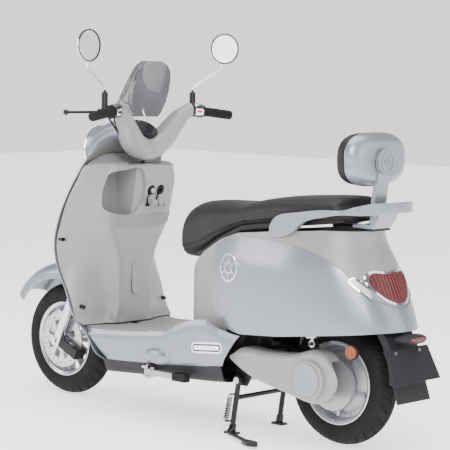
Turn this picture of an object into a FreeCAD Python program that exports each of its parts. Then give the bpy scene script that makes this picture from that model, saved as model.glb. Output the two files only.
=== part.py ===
"""Electric moped scooter, modelled as an assembly of separate pieces.

Frame: +X is the direction of travel, +Y is the rider's left, +Z is up.
The origin is on the ground, at the middle of the scooter's length and width.
The scooter stands on its centre stand with the front wheel on the ground.
All sizes are millimetres.
"""
import FreeCAD, Part
import math
import os

V = FreeCAD.Vector
X_AXIS, Y_AXIS, Z_AXIS = V(1, 0, 0), V(0, 1, 0), V(0, 0, 1)

# ---------------------------------------------------------------- driving dimensions
WHEEL_R = 205.0            # tyre outer radius, 3.00-10
TYRE_HALF_W = 46.0
RIM_FLANGE_R = 136.0
BEAD_R = 128.0
FRONT_AXLE_X = 685.0
REAR_AXLE_X = -615.0
REAR_LIFT = 8.0            # the stand holds the rear tyre this far off the ground
REAR_AXLE_Z = WHEEL_R + REAR_LIFT

RAKE = 25.0                # steering axis from the vertical, degrees
FORK_OFFSET = 30.0         # axle ahead of the steering axis
LEG_Y = 72.0               # fork leg centre from the middle plane
STANCHION_R = 13.0
LOWER_R = 17.0
RUN = 0.06                 # running clearance on radius

BAR_R = 11.0
GRIP_R = 16.5
COVER_END = V(274, 177, 1065)    # where the bar leaves the handlebar cover
BAR_END = V(227, 342, 1045)      # end of the grip
MIRROR_R = 55.0

SWING_PIVOT = V(-300, 0, 270)
SHOCK_TOP = V(-545, 0, 600)
SHOCK_FOOT = V(-560, 0, 340)
SHOCK_Y = 98.0
STAND_PIVOT = V(-264, 0, 185)
SEAT_HINGE = V(-12, 0, 552)
PEG_PIVOT = V(84, 182, 176)

WALL = 3.0                 # moulded panel thickness

PARTS = {}


def keep(name, *shapes):
    """Adds the solids of the shapes to the node of that name."""
    solids = PARTS.setdefault(name, [])
    for shape in shapes:
        solids.extend(shape.Solids)


# ---------------------------------------------------------------- shape helpers
def cyl(a, b, r):
    """Cylinder of radius r from point a to point b."""
    d = b - a
    return Part.makeCylinder(r, d.Length, a, d)


def ring(a, b, r_out, r_in):
    """Tube from a to b."""
    d = (b - a).normalize()
    return cyl(a, b, r_out).cut(cyl(a - d, b + d, r_in))


def box(x0, x1, y0, y1, z0, z1):
    return Part.makeBox(x1 - x0, y1 - y0, z1 - z0, V(x0, y0, z0))


def mirrored(shape):
    """The same shape on the other side of the scooter."""
    return shape.mirror(V(0, 0, 0), Y_AXIS)


def both(shape):
    return [shape, mirrored(shape)]


def rounded_path(points, radius):
    """A wire through the points, its corners rounded by arcs."""
    edges = []
    start = points[0]
    for before, at, after in zip(points, points[1:], points[2:]):
        u = (before - at).normalize()
        w = (after - at).normalize()
        half = u.getAngle(w) / 2
        cut = min(radius / math.tan(half), 0.45 * (before - at).Length, 0.45 * (after - at).Length)
        mid_dir = (u + w).normalize()
        r = cut * math.tan(half)
        centre = at + mid_dir * (r / math.sin(half))
        a, b = at + u * cut, at + w * cut
        edges.append(Part.LineSegment(start, a).toShape())
        edges.append(Part.Arc(a, centre - mid_dir * r, b).toShape())
        start = b
    edges.append(Part.LineSegment(start, points[-1]).toShape())
    return Part.Wire(edges)


def tube(points, r, radius=30.0, r_in=None):
    """A bent round bar, or a tube where r_in is given."""
    path = rounded_path(points, radius)
    direction = points[1] - points[0]

    def sweep(size):
        circle = Part.Wire(Part.makeCircle(size, points[0], direction))
        return path.makePipeShell([circle], True, False)

    solid = Part.Solid(sweep(r)) if sweep(r).ShapeType != "Solid" else sweep(r)
    if r_in:
        solid = solid.cut(sweep(r_in))
    return solid


def closed_curve(points):
    """A smooth closed wire through the points."""
    curve = Part.BSplineCurve()
    curve.interpolate(points, PeriodicFlag=True)
    return Part.Wire(curve.toShape())


def open_curve(points):
    curve = Part.BSplineCurve()
    curve.interpolate(points)
    return curve.toShape()


def loft(wires, ruled=False):
    return Part.makeLoft(wires, True, ruled)


def prism(points, direction):
    """Straight-sided outline swept along direction."""
    face = Part.Face(Part.makePolygon(points + [points[0]]))
    return face.extrude(direction)


def smooth_prism(points, direction):
    """Smooth closed outline swept along direction."""
    return Part.Face(closed_curve(points)).extrude(direction)


def slot_prism(centre, along, across, length, width, direction):
    """A stadium outline of that overall length and width, swept along direction."""
    u, w = V(along).normalize(), V(across).normalize()
    r = width / 2
    h = length / 2 - r
    a, b = centre + u * h + w * r, centre + u * h - w * r
    c, d = centre - u * h - w * r, centre - u * h + w * r
    edges = [
        Part.Arc(a, centre + u * (h + r), b).toShape(),
        Part.LineSegment(b, c).toShape(),
        Part.Arc(c, centre - u * (h + r), d).toShape(),
        Part.LineSegment(d, a).toShape(),
    ]
    return Part.Face(Part.Wire(edges)).extrude(direction)


def revolve(profile, centre, axis=Y_AXIS, angle=360.0):
    """Turns a closed list of (r, y) points about an axis along Y through centre."""
    pts = [centre + V(r, y, 0) for r, y in profile]
    face = Part.Face(Part.makePolygon(pts + [pts[0]]))
    return face.revolve(centre, axis, angle)


def table(x, rows, col):
    """Smooth value of column col at x, from rows sorted by their first column."""
    if x <= rows[0][0]:
        return rows[0][col]
    for (a, b) in zip(rows, rows[1:]):
        if x <= b[0]:
            t = (x - a[0]) / (b[0] - a[0])
            return a[col] + (b[col] - a[col]) * t
    return rows[-1][col]


def bolt(at, direction, r, length, head_r, head_h):
    """A screw with its head's underside at the point, and its shank along direction."""
    d = V(direction).normalize()
    return cyl(at, at + d * length, r).fuse(cyl(at - d * head_h, at, head_r))


# ---------------------------------------------------------------- steering frame
# Local axes: x forward across the steering axis, z up along it, axle at (FORK_OFFSET, 0, 0).
E_FWD = V(math.cos(math.radians(RAKE)), 0, math.sin(math.radians(RAKE)))
E_UP = V(-math.sin(math.radians(RAKE)), 0, math.cos(math.radians(RAKE)))
STEER_ORIGIN = V(FRONT_AXLE_X, 0, WHEEL_R) - E_FWD * FORK_OFFSET


def fork(x, y, z):
    """World point of a point in the steering frame."""
    return STEER_ORIGIN + E_FWD * x + V(0, y, 0) + E_UP * z


def steer_x(z):
    """X of the steering axis at world height z."""
    return STEER_ORIGIN.x - (z - STEER_ORIGIN.z) * math.tan(math.radians(RAKE))


HEAD_LOW, HEAD_HIGH = 400.0, 600.0     # head tube, along the steering axis
CLAMP_AT = (925.0 - STEER_ORIGIN.z) / E_UP.z


# ---------------------------------------------------------------- wheels
def tyre_profile(half_w):
    """Outer and inner (r, y) points of a tyre's section."""
    outer = [
        (BEAD_R + 1, 33), (RIM_FLANGE_R + 4, 39), (150, half_w - 2), (166, half_w),
        (180, half_w - 3), (191, half_w - 12), (199, half_w - 24), (203.6, 11), (WHEEL_R, 0),
    ]
    inner = [(BEAD_R + 1, 27), (150, half_w - 9), (168, half_w - 9), (184, half_w - 16), (193, 18), (196, 0)]
    return outer, inner


def make_tyre(centre):
    outer, inner = tyre_profile(TYRE_HALF_W)

    def side(points, sign):
        return [centre + V(r, sign * y, 0) for r, y in points]

    out_pts = side(outer, 1) + side(outer[:-1], -1)[::-1]
    in_pts = side(inner, 1) + side(inner[:-1], -1)[::-1]
    edges = [
        open_curve(out_pts),
        Part.LineSegment(out_pts[-1], in_pts[-1]).toShape(),
        open_curve(in_pts),
        Part.LineSegment(in_pts[0], out_pts[0]).toShape(),
    ]
    face = Part.Face(Part.Wire(edges))
    return face.revolve(centre, Y_AXIS, 360)


def rim_barrel(centre):
    """Flanges and drop centre of the alloy rim, under the tyre's beads."""
    half = [
        (BEAD_R - 6, 0), (BEAD_R - 6, 12), (BEAD_R + 0.4, 19), (BEAD_R + 0.4, 33.4),
        (RIM_FLANGE_R, 36), (RIM_FLANGE_R + 0.5, 40), (RIM_FLANGE_R - 3, 41), (BEAD_R - 4, 35), (BEAD_R - 5, 20),
        (BEAD_R - 11, 12), (BEAD_R - 11, 0),
    ]
    # out along one side and back along the other
    upper = half[:7]
    lower = half[7:]
    pts = upper + lower + [(r, -y) for r, y in lower[::-1][1:]] + [(r, -y) for r, y in upper[::-1][:-1]]
    return revolve(pts, centre)


def front_wheel():
    c = V(FRONT_AXLE_X, 0, WHEEL_R)
    keep("front_tyre", make_tyre(c))
    hub = ring(c - V(0, 32, 0), c + V(0, 32, 0), 30, 16)
    hub = hub.fuse(ring(c + V(0, 32, 0), c + V(0, 42, 0), 36, 16.5))
    spokes = []
    count = 12
    for i in range(count):
        blade = Part.makeBox(94, 30, 6, c + V(27, -18, -3))
        blade.rotate(c, Y_AXIS, i * 360.0 / count)
        spokes.append(blade)
    barrel = rim_barrel(c)
    rim = barrel.fuse([hub] + spokes)
    rim = rim.cut(ring(c - V(0, 60, 0), c + V(0, 60, 0), 200, 129.5).common(make_tyre(c)))
    rim = rim.cut(cyl(c - V(0, 50, 0), c + V(0, 50, 0), 15.0))
    for sign in (1, -1):
        rim = rim.cut(cyl(c + V(0, sign * 20, 0), c + V(0, sign * 60, 0), 17.5))
    keep("front_rim", rim)
    for sign in (1, -1):
        keep("front_wheel_bearings", ring(c + V(0, sign * 21, 0), c + V(0, sign * 31, 0), 17.5, 7.5))
    disc = ring(c + V(0, 47, 0), c + V(0, 50.5, 0), 104, 30)
    cuts = []
    for i in range(8):
        window = Part.makeBox(22, 12, 26, c + V(52, 42, -13))
        window = window.fuse(cyl(c + V(52, 42, 0), c + V(52, 56, 0), 13))
        window.rotate(c, Y_AXIS, i * 45.0 + 22.5)
        cuts.append(window)
    for i in range(24):
        a = math.radians(i * 15.0)
        r = 86 + (i % 2) * 10
        at = c + V(r * math.cos(a), 0, r * math.sin(a))
        cuts.append(cyl(at + V(0, 42, 0), at + V(0, 56, 0), 3.2))
    disc = disc.cut(cuts)
    keep("front_brake_disc", disc)
    for i in range(5):
        a = math.radians(i * 72.0)
        at = c + V(33.0 * math.cos(a), 50.5, 33.0 * math.sin(a))
        keep("front_brake_disc", cyl(at, at + V(0, 3, 0), 3.0))
    spacer = ring(c + V(0, 42, 0), c + V(0, 47, 0), 38, 16)
    keep("front_brake_disc", spacer)


def rear_wheel():
    c = V(REAR_AXLE_X, 0, REAR_AXLE_Z)
    keep("rear_tyre", make_tyre(c))
    dish = [
        (16, 18), (40, 22), (70, 20), (94, 10), (105, 4), (120, 4), (120, -4), (105, -4),
        (94, -10), (70, -20), (40, -26), (16, -28),
    ]
    rim = rim_barrel(c).fuse(revolve(dish, c))
    rim = rim.cut(ring(c - V(0, 60, 0), c + V(0, 60, 0), 200, 129.5).common(make_tyre(c)))
    ribs = []
    for i in range(5):
        rib = Part.makeBox(76, 12, 10, c + V(34, 14, -5))
        rib.rotate(c, Y_AXIS, 18 + i * 72.0)
        ribs.append(rib)
    rim = rim.fuse(ribs)
    rim = rim.cut(cyl(c - V(0, 60, 0), c + V(0, 60, 0), 15.0))
    keep("rear_rim", rim)
    keep("rear_wheel_bearings", ring(c + V(0, 8, 0), c + V(0, 18, 0), 15.0, 8.0))
    keep("rear_wheel_bearings", ring(c - V(0, 27, 0), c - V(0, 17, 0), 15.0, 8.0))
    for i in range(10):
        a = math.radians(i * 36.0)
        at = c + V(111 * math.cos(a), 4, 111 * math.sin(a))
        keep("rear_wheel_bolts", cyl(at, at + V(0, 4, 0), 4.0))


# ---------------------------------------------------------------- fork and steering
def front_fork():
    c = V(FRONT_AXLE_X, 0, WHEEL_R)
    lowers = []
    for sign in (1, -1):
        y = sign * LEG_Y
        leg = cyl(fork(FORK_OFFSET, y, -20), fork(FORK_OFFSET, y, 190), LOWER_R)
        leg = leg.fuse(cyl(fork(FORK_OFFSET, y, 180), fork(FORK_OFFSET, y, 196), LOWER_R + 3))
        leg = leg.cut(cyl(fork(FORK_OFFSET, y, 15), fork(FORK_OFFSET, y, 200), STANCHION_R + RUN))
        leg = leg.cut(cyl(c + V(0, y - 30, 0), c + V(0, y + 30, 0), 6.0))
        lowers.append(leg)
    # ear on the left leg that carries the caliper
    ear = Part.makeBox(104, 8, 36, V(-110, LEG_Y - 4, -18))
    ear.rotate(V(0, 0, 0), Y_AXIS, -RAKE)
    ear.translate(fork(FORK_OFFSET, 0, 0))
    keep("fork_lower_right", lowers[1])
    stanchion_hole = cyl(fork(FORK_OFFSET, LEG_Y, 15), fork(FORK_OFFSET, LEG_Y, 200), STANCHION_R + RUN)
    keep("fork_lower_left", lowers[0].fuse(ear).cut(stanchion_hole))
    axle = cyl(c - V(0, 96, 0), c + V(0, 96, 0), 6.0)
    heads = [cyl(c + V(0, s * 89.5, 0), c + V(0, s * 97, 0), 12) for s in (1, -1)]
    sleeves = [ring(c + V(0, s * 32.2, 0), c + V(0, s * (LEG_Y - LOWER_R - 0.2), 0), 11, 6) for s in (1, -1)]
    keep("front_axle", axle.fuse(heads), *sleeves)
    caliper = Part.makeBox(38, 37.9, 40, V(-112, 30, -20))
    caliper.rotate(V(0, 0, 0), Y_AXIS, -RAKE)
    caliper.translate(fork(FORK_OFFSET, 0, 0))
    gap = cyl(c + V(0, 44.5, 0), c + V(0, 53, 0), 106)
    edges = [e for e in caliper.Edges if abs(e.Length - 37.9) < 0.1]
    keep("brake_caliper", caliper.makeFillet(4, edges).cut(gap))
    for sign in (1, -1):
        y = sign * LEG_Y
        keep("fork_stanchions", cyl(fork(FORK_OFFSET, y, 84), fork(FORK_OFFSET, y, 392), STANCHION_R))
    yoke = smooth_prism(
        [fork(x, y, 362) for x, y in (
            (50, 72), (46, 92), (30, 97), (8, 84), (-16, 30), (-22, 0), (-16, -30), (8, -84), (30, -97), (46, -92),
            (50, -72), (40, -30), (36, 0), (40, 30))],
        E_UP * 28,
    )
    yoke = yoke.cut([cyl(fork(FORK_OFFSET, s * LEG_Y, 350), fork(FORK_OFFSET, s * LEG_Y, 400), STANCHION_R)
                     for s in (1, -1)])
    stem = ring(fork(0, 0, 362), fork(0, 0, CLAMP_AT + 26), 14, 10)
    yoke = yoke.cut(cyl(fork(0, 0, 350), fork(0, 0, 400), 12))
    keep("steering_stem", yoke.fuse(stem))
    for low, high in ((HEAD_LOW, HEAD_LOW + 12), (HEAD_HIGH - 12, HEAD_HIGH)):
        keep("headset_bearings", ring(fork(0, 0, low), fork(0, 0, high), 21, 14 + RUN))


# ---------------------------------------------------------------- handlebar
BAR_DIR = V(BAR_END - COVER_END).normalize()


def bar_point(s, fwd=0.0, up=0.0):
    """Point s along the left grip's axis from the cover's end, moved forward and up."""
    return COVER_END + BAR_DIR * s + V(fwd, 0, up)


def bar_path():
    clamp = fork(0, 0, CLAMP_AT) + E_FWD * 27
    left = [V(clamp.x - 2, 46, clamp.z), V(300, 120, 1020), COVER_END - BAR_DIR * 10, BAR_END]
    right = [V(p.x, -p.y, p.z) for p in left]
    return right[::-1] + left


def cover_section(centre, normal, wide, tall):
    """An oval section square to normal: wide across X, tall the other way."""
    n = V(normal).normalize()
    u = (X_AXIS - n * X_AXIS.dot(n)).normalize()
    w = n.cross(u)
    pts = []
    for i in range(16):
        a = 2 * math.pi * i / 16
        c, s = math.cos(a), math.sin(a)
        k = 0.85
        pts.append(centre + u * (wide * math.copysign(abs(c) ** k, c)) + w * (tall * math.copysign(abs(s) ** k, s)))
    return closed_curve(pts)


COVER_STATIONS = [
    # y, x, z, normal (y, z), half size across X, half size the other way
    (0, 320, 925, (1, 0.0), 50, 41),
    (46, 316, 938, (1, 0.42), 49, 40),
    (84, 306, 968, (1, 0.95), 45, 36),
    (118, 295, 1010, (1, 1.15), 39, 31),
    (146, 284, 1042, (1, 0.75), 31, 27),
    (177, 275, 1063, (1, 0.05), 25, 25),
]


def cover_loft(shrink):
    wires = []
    for y, x, z, (ny, nz), wide, tall in COVER_STATIONS[::-1]:
        if y:
            wires.append(cover_section(V(x, -y, z), V(0, ny, -nz), wide - shrink, tall - shrink))
    for y, x, z, (ny, nz), wide, tall in COVER_STATIONS:
        wires.append(cover_section(V(x, y, z), V(0, ny, nz), wide - shrink, tall - shrink))
    return loft(wires)


def handlebar_group():
    bar = tube(bar_path(), BAR_R, 26)
    keep("handlebar", bar)
    clamp_c = fork(0, 0, CLAMP_AT) + E_FWD * 14
    block = Part.makeBox(58, 44, 34, V(clamp_c.x - 29, -22, clamp_c.z - 17))
    block = block.makeFillet(6, [e for e in block.Edges if abs(e.Length - 44) < 1])
    stem_bore = cyl(fork(0, 0, CLAMP_AT - 80), fork(0, 0, CLAMP_AT + 80), 14)
    keep("handlebar_clamp", block.cut([bar, stem_bore]))
    outer = cover_loft(0.0)
    inner = cover_loft(WALL)
    cover = outer.cut(inner)
    stem_way = cyl(fork(0, 0, CLAMP_AT - 120), fork(0, 0, CLAMP_AT), 27)
    ways = [cyl(V(340, 0, 954.5), V(480, 0, 988), 6.4)]
    for s in (1, -1):
        ways += [tube(windshield_arm(s), 4.4, 18), tube(hose_path(s), 3.5, 24), tube(lead_path(s), 3.0, 24)]
    keep("handlebar_cover", cover.cut([stem_way] + ways))
    return bar, outer


def windshield_arm(s):
    return [V(332, s * 60, 979), V(352, s * 58, 1005), V(383, s * 52, 1052), V(377, s * 50, 1066)]


def hose_path(s):
    """Brake hose from the lever perch into the front of the cover."""
    return [V(312, s * 190, 1057), V(342, s * 165, 1045), V(350, s * 120, 1002), V(362, s * 60, 950),
            V(372, s * 36, 925)]


def lead_path(s):
    """Switch lead beside the hose."""
    return [V(292, s * 178, 1036), V(300, s * 160, 1004), V(334, s * 110, 962), V(366, s * 50, 916)]


def bar_frame(side):
    """Mirrors a left-hand piece to the given side."""
    return (lambda s: s) if side == "left" else mirrored


def grips_and_levers(bar):
    for side in ("left", "right"):
        put = bar_frame(side)
        grip = cyl(bar_point(62), bar_point(170), GRIP_R).fuse(cyl(bar_point(56), bar_point(63), GRIP_R + 4))
        grip = grip.fuse(cyl(bar_point(170), bar_point(178), GRIP_R - 1))
        grip = grip.cut(cyl(bar_point(40), bar_point(172.9), BAR_R + (RUN if side == "right" else 0.0)))
        keep("left_grip" if side == "left" else "throttle_grip", put(grip))
        # split clamp: rear half carries the switches, front half the mirror and the lever
        whole = cyl(bar_point(8), bar_point(54), 24).cut(cyl(bar_point(0), bar_point(60), BAR_R))
        rear_zone = Part.makeBox(60, 120, 120, bar_point(31) + V(-60.2, -60, -60))
        front_zone = Part.makeBox(60, 120, 120, bar_point(31) + V(0.2, -60, -60))
        for zone in (rear_zone, front_zone):
            zone.rotate(bar_point(31), Z_AXIS, math.degrees(math.atan2(-BAR_DIR.x, BAR_DIR.y)))
        housing = whole.common(rear_zone)
        keep(side + "_switch_housing", put(housing))
        perch = whole.common(front_zone)
        tower_at = V(298, 219, 1064)
        tower = cyl(tower_at, tower_at + V(0, 0, 62), 11)
        arm = box(266, 322, 196, 230, 1046, 1068)
        lever_slot = box(290, 330, 180, 240, 1052, 1062)
        arm = arm.cut([lever_slot, cyl(bar_point(0), bar_point(60), 23.0)])
        pin = cyl(V(312, 206, 1040), V(312, 206, 1072), 3.0)
        reservoir = box(272, 300, 186, 206, 1068, 1092)
        perch = perch.fuse([tower, arm]).cut(cyl(tower_at + V(0, 0, 30), tower_at + V(0, 0, 70), 5.0))
        perch = perch.cut(cyl(V(312, 206, 1030), V(312, 206, 1080), 3.0))
        perch = perch.cut(cyl(bar_point(0), bar_point(60), BAR_R))
        perch = perch.cut(whole.common(rear_zone))
        keep(side + "_brake_perch", put(perch), put(pin))
        z0 = 1053.0
        lever_pts = [V(304, 199, z0), V(322, 202, z0), V(327, 240, z0), V(327, 300, z0), V(331, 372, z0),
                     V(318, 374, z0), V(315, 300, z0), V(312, 240, z0), V(303, 214, z0)]
        lever = prism(lever_pts, V(0, 0, 8))
        knob = Part.makeSphere(9.5, V(324, 375, z0 + 4))
        lever = lever.fuse(knob).cut(cyl(V(312, 206, 1040), V(312, 206, 1072), 3.0 + RUN))
        keep(side + "_brake_lever", put(lever))


def switches():
    """Chrome switch plates and the moving controls that stand in them."""
    n = V(-BAR_DIR.y, BAR_DIR.x, 0).normalize()        # faces the rider
    for side in ("left", "right"):
        put = bar_frame(side)
        mid = bar_point(31)
        face = cyl(bar_point(14), bar_point(48), 26).cut(cyl(bar_point(0), bar_point(60), 24.0))
        keep_zone = Part.makeBox(28, 34, 44, V(-28, -17, -16))
        keep_zone.rotate(V(0, 0, 0), Z_AXIS, math.degrees(math.atan2(-BAR_DIR.x, BAR_DIR.y)))
        keep_zone.translate(mid + n * 8)
        plate = face.common(keep_zone)
        controls = []
        for name, up, along, w, h in (("upper", 14, 0, 16, 7), ("lower", -3, 0, 18, 8)):
            at = mid + V(0, 0, up) + BAR_DIR * along
            body = slot_prism(at + n * 17, BAR_DIR, Z_AXIS, w, h, n * 12.5)
            play = 7.0 if (side, name) == ("left", "upper") else 0.8
            way = slot_prism(at + n * 15, BAR_DIR, Z_AXIS, w + play, h + 0.8, n * 20)
            controls.append((name, body, way))
        for _, _, way in controls:
            plate = plate.cut(way)
            housing = PARTS[side + "_switch_housing"][0].cut(put(way))
            PARTS[side + "_switch_housing"] = housing.Solids
        keep("switch_plates", put(plate))
        for name, body, _ in controls:
            keep({"left": {"upper": "turn_signal_switch", "lower": "horn_button"},
                  "right": {"upper": "headlight_switch", "lower": "start_button"}}[side][name], put(body))


MIRROR_YAW = {"left": -4.0, "right": 24.0}     # turn of the glass towards +Y, from straight back
MIRROR_CENTRE = V(252, 337, 1285)


def mirrors():
    for side in ("left", "right"):
        put = bar_frame(side)
        foot = V(298, 219, 1096)
        top = V(266, 335, 1226)
        stem = tube([foot, V(298, 219, 1143), V(266, 331, 1212), top], 4.6, 16)
        joint_ball = Part.makeSphere(7.0, top)
        keep(side + "_mirror_stem", put(stem.fuse(joint_ball)))
        sign = 1 if side == "left" else -1
        c = V(MIRROR_CENTRE.x, sign * MIRROR_CENTRE.y, MIRROR_CENTRE.z)
        ang = math.radians(MIRROR_YAW[side])
        n = V(-math.cos(ang), math.sin(ang), 0)           # the glass faces this way
        shell_prof = [V(0, 0, 0), V(MIRROR_R, 0, 0), V(MIRROR_R, 0, -6), V(MIRROR_R * 0.9, 0, -15),
                      V(MIRROR_R * 0.6, 0, -23), V(0, 0, -27)]
        shell = Part.Face(Part.makePolygon(shell_prof + [shell_prof[0]])).revolve(V(0, 0, 0), Z_AXIS, 360)
        well = Part.makeCylinder(MIRROR_R - 2.5, 4, V(0, 0, -4))
        shell = shell.cut(well)
        glass = Part.makeCylinder(MIRROR_R - 2.5, 3, V(0, 0, -4))
        turn = FreeCAD.Rotation(Z_AXIS, n)
        for piece in (shell, glass):
            piece.Placement = FreeCAD.Placement(c, turn)
        top_world = V(top.x, sign * top.y, top.z)
        shell = shell.cut(Part.makeSphere(7.0 + 0.3, top_world))
        glass = glass.cut(Part.makeSphere(7.0 + 0.3, top_world))
        keep(side + "_mirror_shell", shell)
        keep(side + "_mirror_glass", glass)


def windshield():
    stations = [
        # z, x of the middle, half width, sag of the sides to the rear
        (1036, 416, 117, 41), (1050, 406, 121, 42), (1090, 380, 121, 40), (1130, 356, 115, 36),
        (1170, 334, 106, 31), (1200, 318, 94, 25), (1222, 307, 76, 17), (1236, 300, 48, 8),
    ]
    wires = []
    for z, x, half, sag in stations:
        front = [V(x + 0.0 - sag * (y / half) ** 2, y, z) for y in (half, half * 0.5, 0, -half * 0.5, -half)]
        back = [p + V(-3.0, 0, 0) for p in front[::-1]]
        wires.append(Part.Wire([
            open_curve(front), Part.LineSegment(front[-1], back[0]).toShape(),
            open_curve(back), Part.LineSegment(back[-1], front[0]).toShape()]))
    keep("windshield", loft(wires, True))
    for sign in (1, -1):
        keep("windshield_brackets", tube(windshield_arm(sign), 4.0, 18))



# ---------------------------------------------------------------- leg shield
# z, edge x, edge y, apron x at the middle
APRON = [
    (196, 299, 205, 400), (250, 364, 214, 404), (300, 400, 224, 420), (352, 440, 235, 434), (434, 474, 238, 474),
    (491, 507, 238, 512), (553, 532, 234, 540), (598, 534, 233, 548), (679, 513, 231, 540), (771, 476, 221, 512),
    (827, 452, 207, 488), (869, 432, 195, 465), (915, 408, 165, 434), (945, 396, 120, 410), (955, 392, 80, 400),
]
# z, edge x, edge y, face x, face half width, recess x
INNER = [
    (306, 400, 224, 352, 105, 384), (352, 440, 235, 352, 100, 406), (434, 474, 238, 354, 95, 419),
    (491, 507, 238, 352, 95, 427), (553, 532, 234, 349, 112, 430), (598, 534, 233, 346, 135, 432),
    (640, 523, 232, 342, 160, 428), (700, 505, 229, 335, 178, 420), (771, 476, 221, 322, 180, 404),
    (827, 452, 207, 308, 170, 384), (866, 434, 195, 297, 155, 366),
]


def closed_section(outer, inner):
    """A closed wire from two open smooth curves joined at their ends."""
    return Part.Wire([
        open_curve(outer), Part.LineSegment(outer[-1], inner[-1]).toShape(),
        open_curve(inner), Part.LineSegment(inner[0], outer[0]).toShape(),
    ])


def front_apron():
    wires = []
    for z, xe, ye, xc in APRON:
        steps = (1.0, 0.92, 0.75, 0.5, 0.25, 0, -0.25, -0.5, -0.75, -0.92, -1.0)
        outer = [V(xc + (xe - xc) * abs(t) ** 2.2, ye * t, z) for t in steps]
        inner = [p + V(-4.0, 0, 0) for p in outer]
        wires.append(closed_section(outer, inner))
    skin = loft(wires)
    arch = prism([V(200, y, z) for y, z in (
        (-132, 100), (132, 100), (132, 530), (104, 582), (50, 600), (-50, 600), (-104, 582), (-132, 530))],
        V(500, 0, 0))
    keep("front_apron", skin.cut(arch))


def face_x(z):
    return table(z, INNER, 3)


def inner_section(z, xe, ye, xt, wt, xs, inset):
    """Rear surface of the leg shield: a middle box face, recessed sides and the outer edges."""
    half = [
        (xt, 0), (xt, wt * 0.6), (xt + 5, wt * 0.86), (xt + 0.45 * (xs - xt), wt),
        (xs - 5, wt + 0.35 * (ye - wt)), (xs + 0.42 * (xe - 12 - xs), wt + 0.75 * (ye - wt)), (xe - 12, ye - 3.5),
    ]
    k = 1.0 - inset * 0.0065
    left = [V(x + inset, y * k, z) for x, y in half]
    return [V(p.x, -p.y, p.z) for p in left[:0:-1]] + left


POCKET = [(12, 716), (12, 840), (26, 854), (120, 852), (158, 842), (170, 815), (174, 740), (166, 714), (140, 702),
          (26, 702)]
CLUSTER_Y = (-40.0, -86.0)


def inner_leg_shield():
    wires = [closed_section(inner_section(*row, 0.0), inner_section(*row, 4.0)) for row in INNER]
    skin = loft(wires)
    opening = smooth_prism([V(200, y, z) for y, z in POCKET], V(200, 0, 0))
    # the pocket keeps the rounded outline of its mouth, and is shallow beside the steering head
    wall = [(93 + (y - 93) * 1.03, 778 + (z - 778) * 1.04) for y, z in POCKET]
    head_side = [V(346, -60, 690), V(316, -60, 870), V(600, -60, 870), V(600, -60, 690)]
    liner_zone = smooth_prism([V(280, y, z) for y, z in wall], V(140, 0, 0)).cut(prism(head_side, V(0, 96, 0)))
    hollow = smooth_prism([V(270, y, z) for y, z in POCKET], V(147, 0, 0))
    hollow = hollow.cut(prism([p - V(3, 0, 0) for p in head_side], V(0, 99, 0)))
    liner = max(liner_zone.cut(hollow).cut(skin).Solids, key=lambda solid: solid.Volume)
    cluster = []
    for y in CLUSTER_Y:
        cluster.append(cyl(V(250, y, 775), V(400, y, 775), 19))
        cluster.append(slot_prism(V(250, y, 741), Z_AXIS, Y_AXIS, 46, 32, V(95, 0, 0)))
    cover_way = slot_prism(V(250, 0, 463), Z_AXIS, Y_AXIS, 123, 43, V(150, 0, 0))
    screws = [cyl(V(p.x - 60, p.y, p.z), V(p.x + 60, p.y, p.z), 7.2) for p in screw_points()]
    top_way = cyl(fork(0, 0, 640), fork(0, 0, 800), 25)
    keep("inner_leg_shield", skin.cut([opening, cover_way, top_way] + cluster + screws))
    keep("glove_pocket", liner)
    service = slot_prism(V(343, 0, 463), Z_AXIS, Y_AXIS, 121.4, 41.4, V(16, 0, 0))
    keep("service_cover", service.cut(box(352, 400, -30, 30, 300, 600)).cut(box(300, 348.5, -30, 30, 300, 600)))


def screw_points():
    """Visible fixing screws of the leg shield."""
    left = [V(508, 222, 600), V(413, 203, 366)]
    return left + [V(p.x, -p.y, p.z) for p in left]


def shield_fittings():
    for p in screw_points():
        keep("shield_screws", cyl(V(p.x - 9, p.y, p.z), V(p.x + 3, p.y, p.z), 6.8))
    # dark pod behind the shield face: lock on one side, charging port on the other
    x0 = 338.0
    pod = box(x0, x0 + 16, -110, -16, 716, 798)
    pod = pod.cut(cyl(V(300, CLUSTER_Y[0], 775), V(400, CLUSTER_Y[0], 775), 9.0))
    pod = pod.cut(cyl(V(300, CLUSTER_Y[1], 775), V(348, CLUSTER_Y[1], 775), 13.0))
    keep("lock_pod", pod)
    keep("key_lock_bezel", ring(V(316, CLUSTER_Y[0], 775), V(337.9, CLUSTER_Y[0], 775), 14, 9.0))
    barrel = cyl(V(312, CLUSTER_Y[0], 775), V(352, CLUSTER_Y[0], 775), 9.0 - RUN)
    barrel = barrel.cut(box(306, 320, CLUSTER_Y[0] - 1.5, CLUSTER_Y[0] + 1.5, 769, 781))
    keep("key_barrel", barrel)
    keep("charging_port", ring(V(322, CLUSTER_Y[1], 775), V(347.9, CLUSTER_Y[1], 775), 12, 8))
    # swinging tongues under the two recesses
    for name, y in (("bag_hook", CLUSTER_Y[0]), ("port_flap", CLUSTER_Y[1])):
        tongue = slot_prism(V(314, y, 740), Z_AXIS, Y_AXIS, 42, 28, V(9, 0, 0))
        if name == "bag_hook":
            lip = slot_prism(V(300, y, 727), Y_AXIS, Z_AXIS, 26, 10, V(15, 0, 0))
            rise = box(300, 305, y - 11, y + 11, 722, 742)
            tongue = tongue.fuse([lip, rise])
        pin = cyl(V(320.5, y - 19, 724), V(320.5, y + 19, 724), 2.5)
        for s in (1, -1):
            ear = box(316.5, 340, y + s * 17 - 1.5, y + s * 17 + 1.5, 719, 729)
            pin = pin.fuse(ear.cut(PARTS["inner_leg_shield"][0]).Solids[0])
        keep(name, tongue.cut(cyl(V(320.5, y - 20, 724), V(320.5, y + 20, 724), 2.5 + RUN)))
        keep("tongue_pins", pin)


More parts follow.
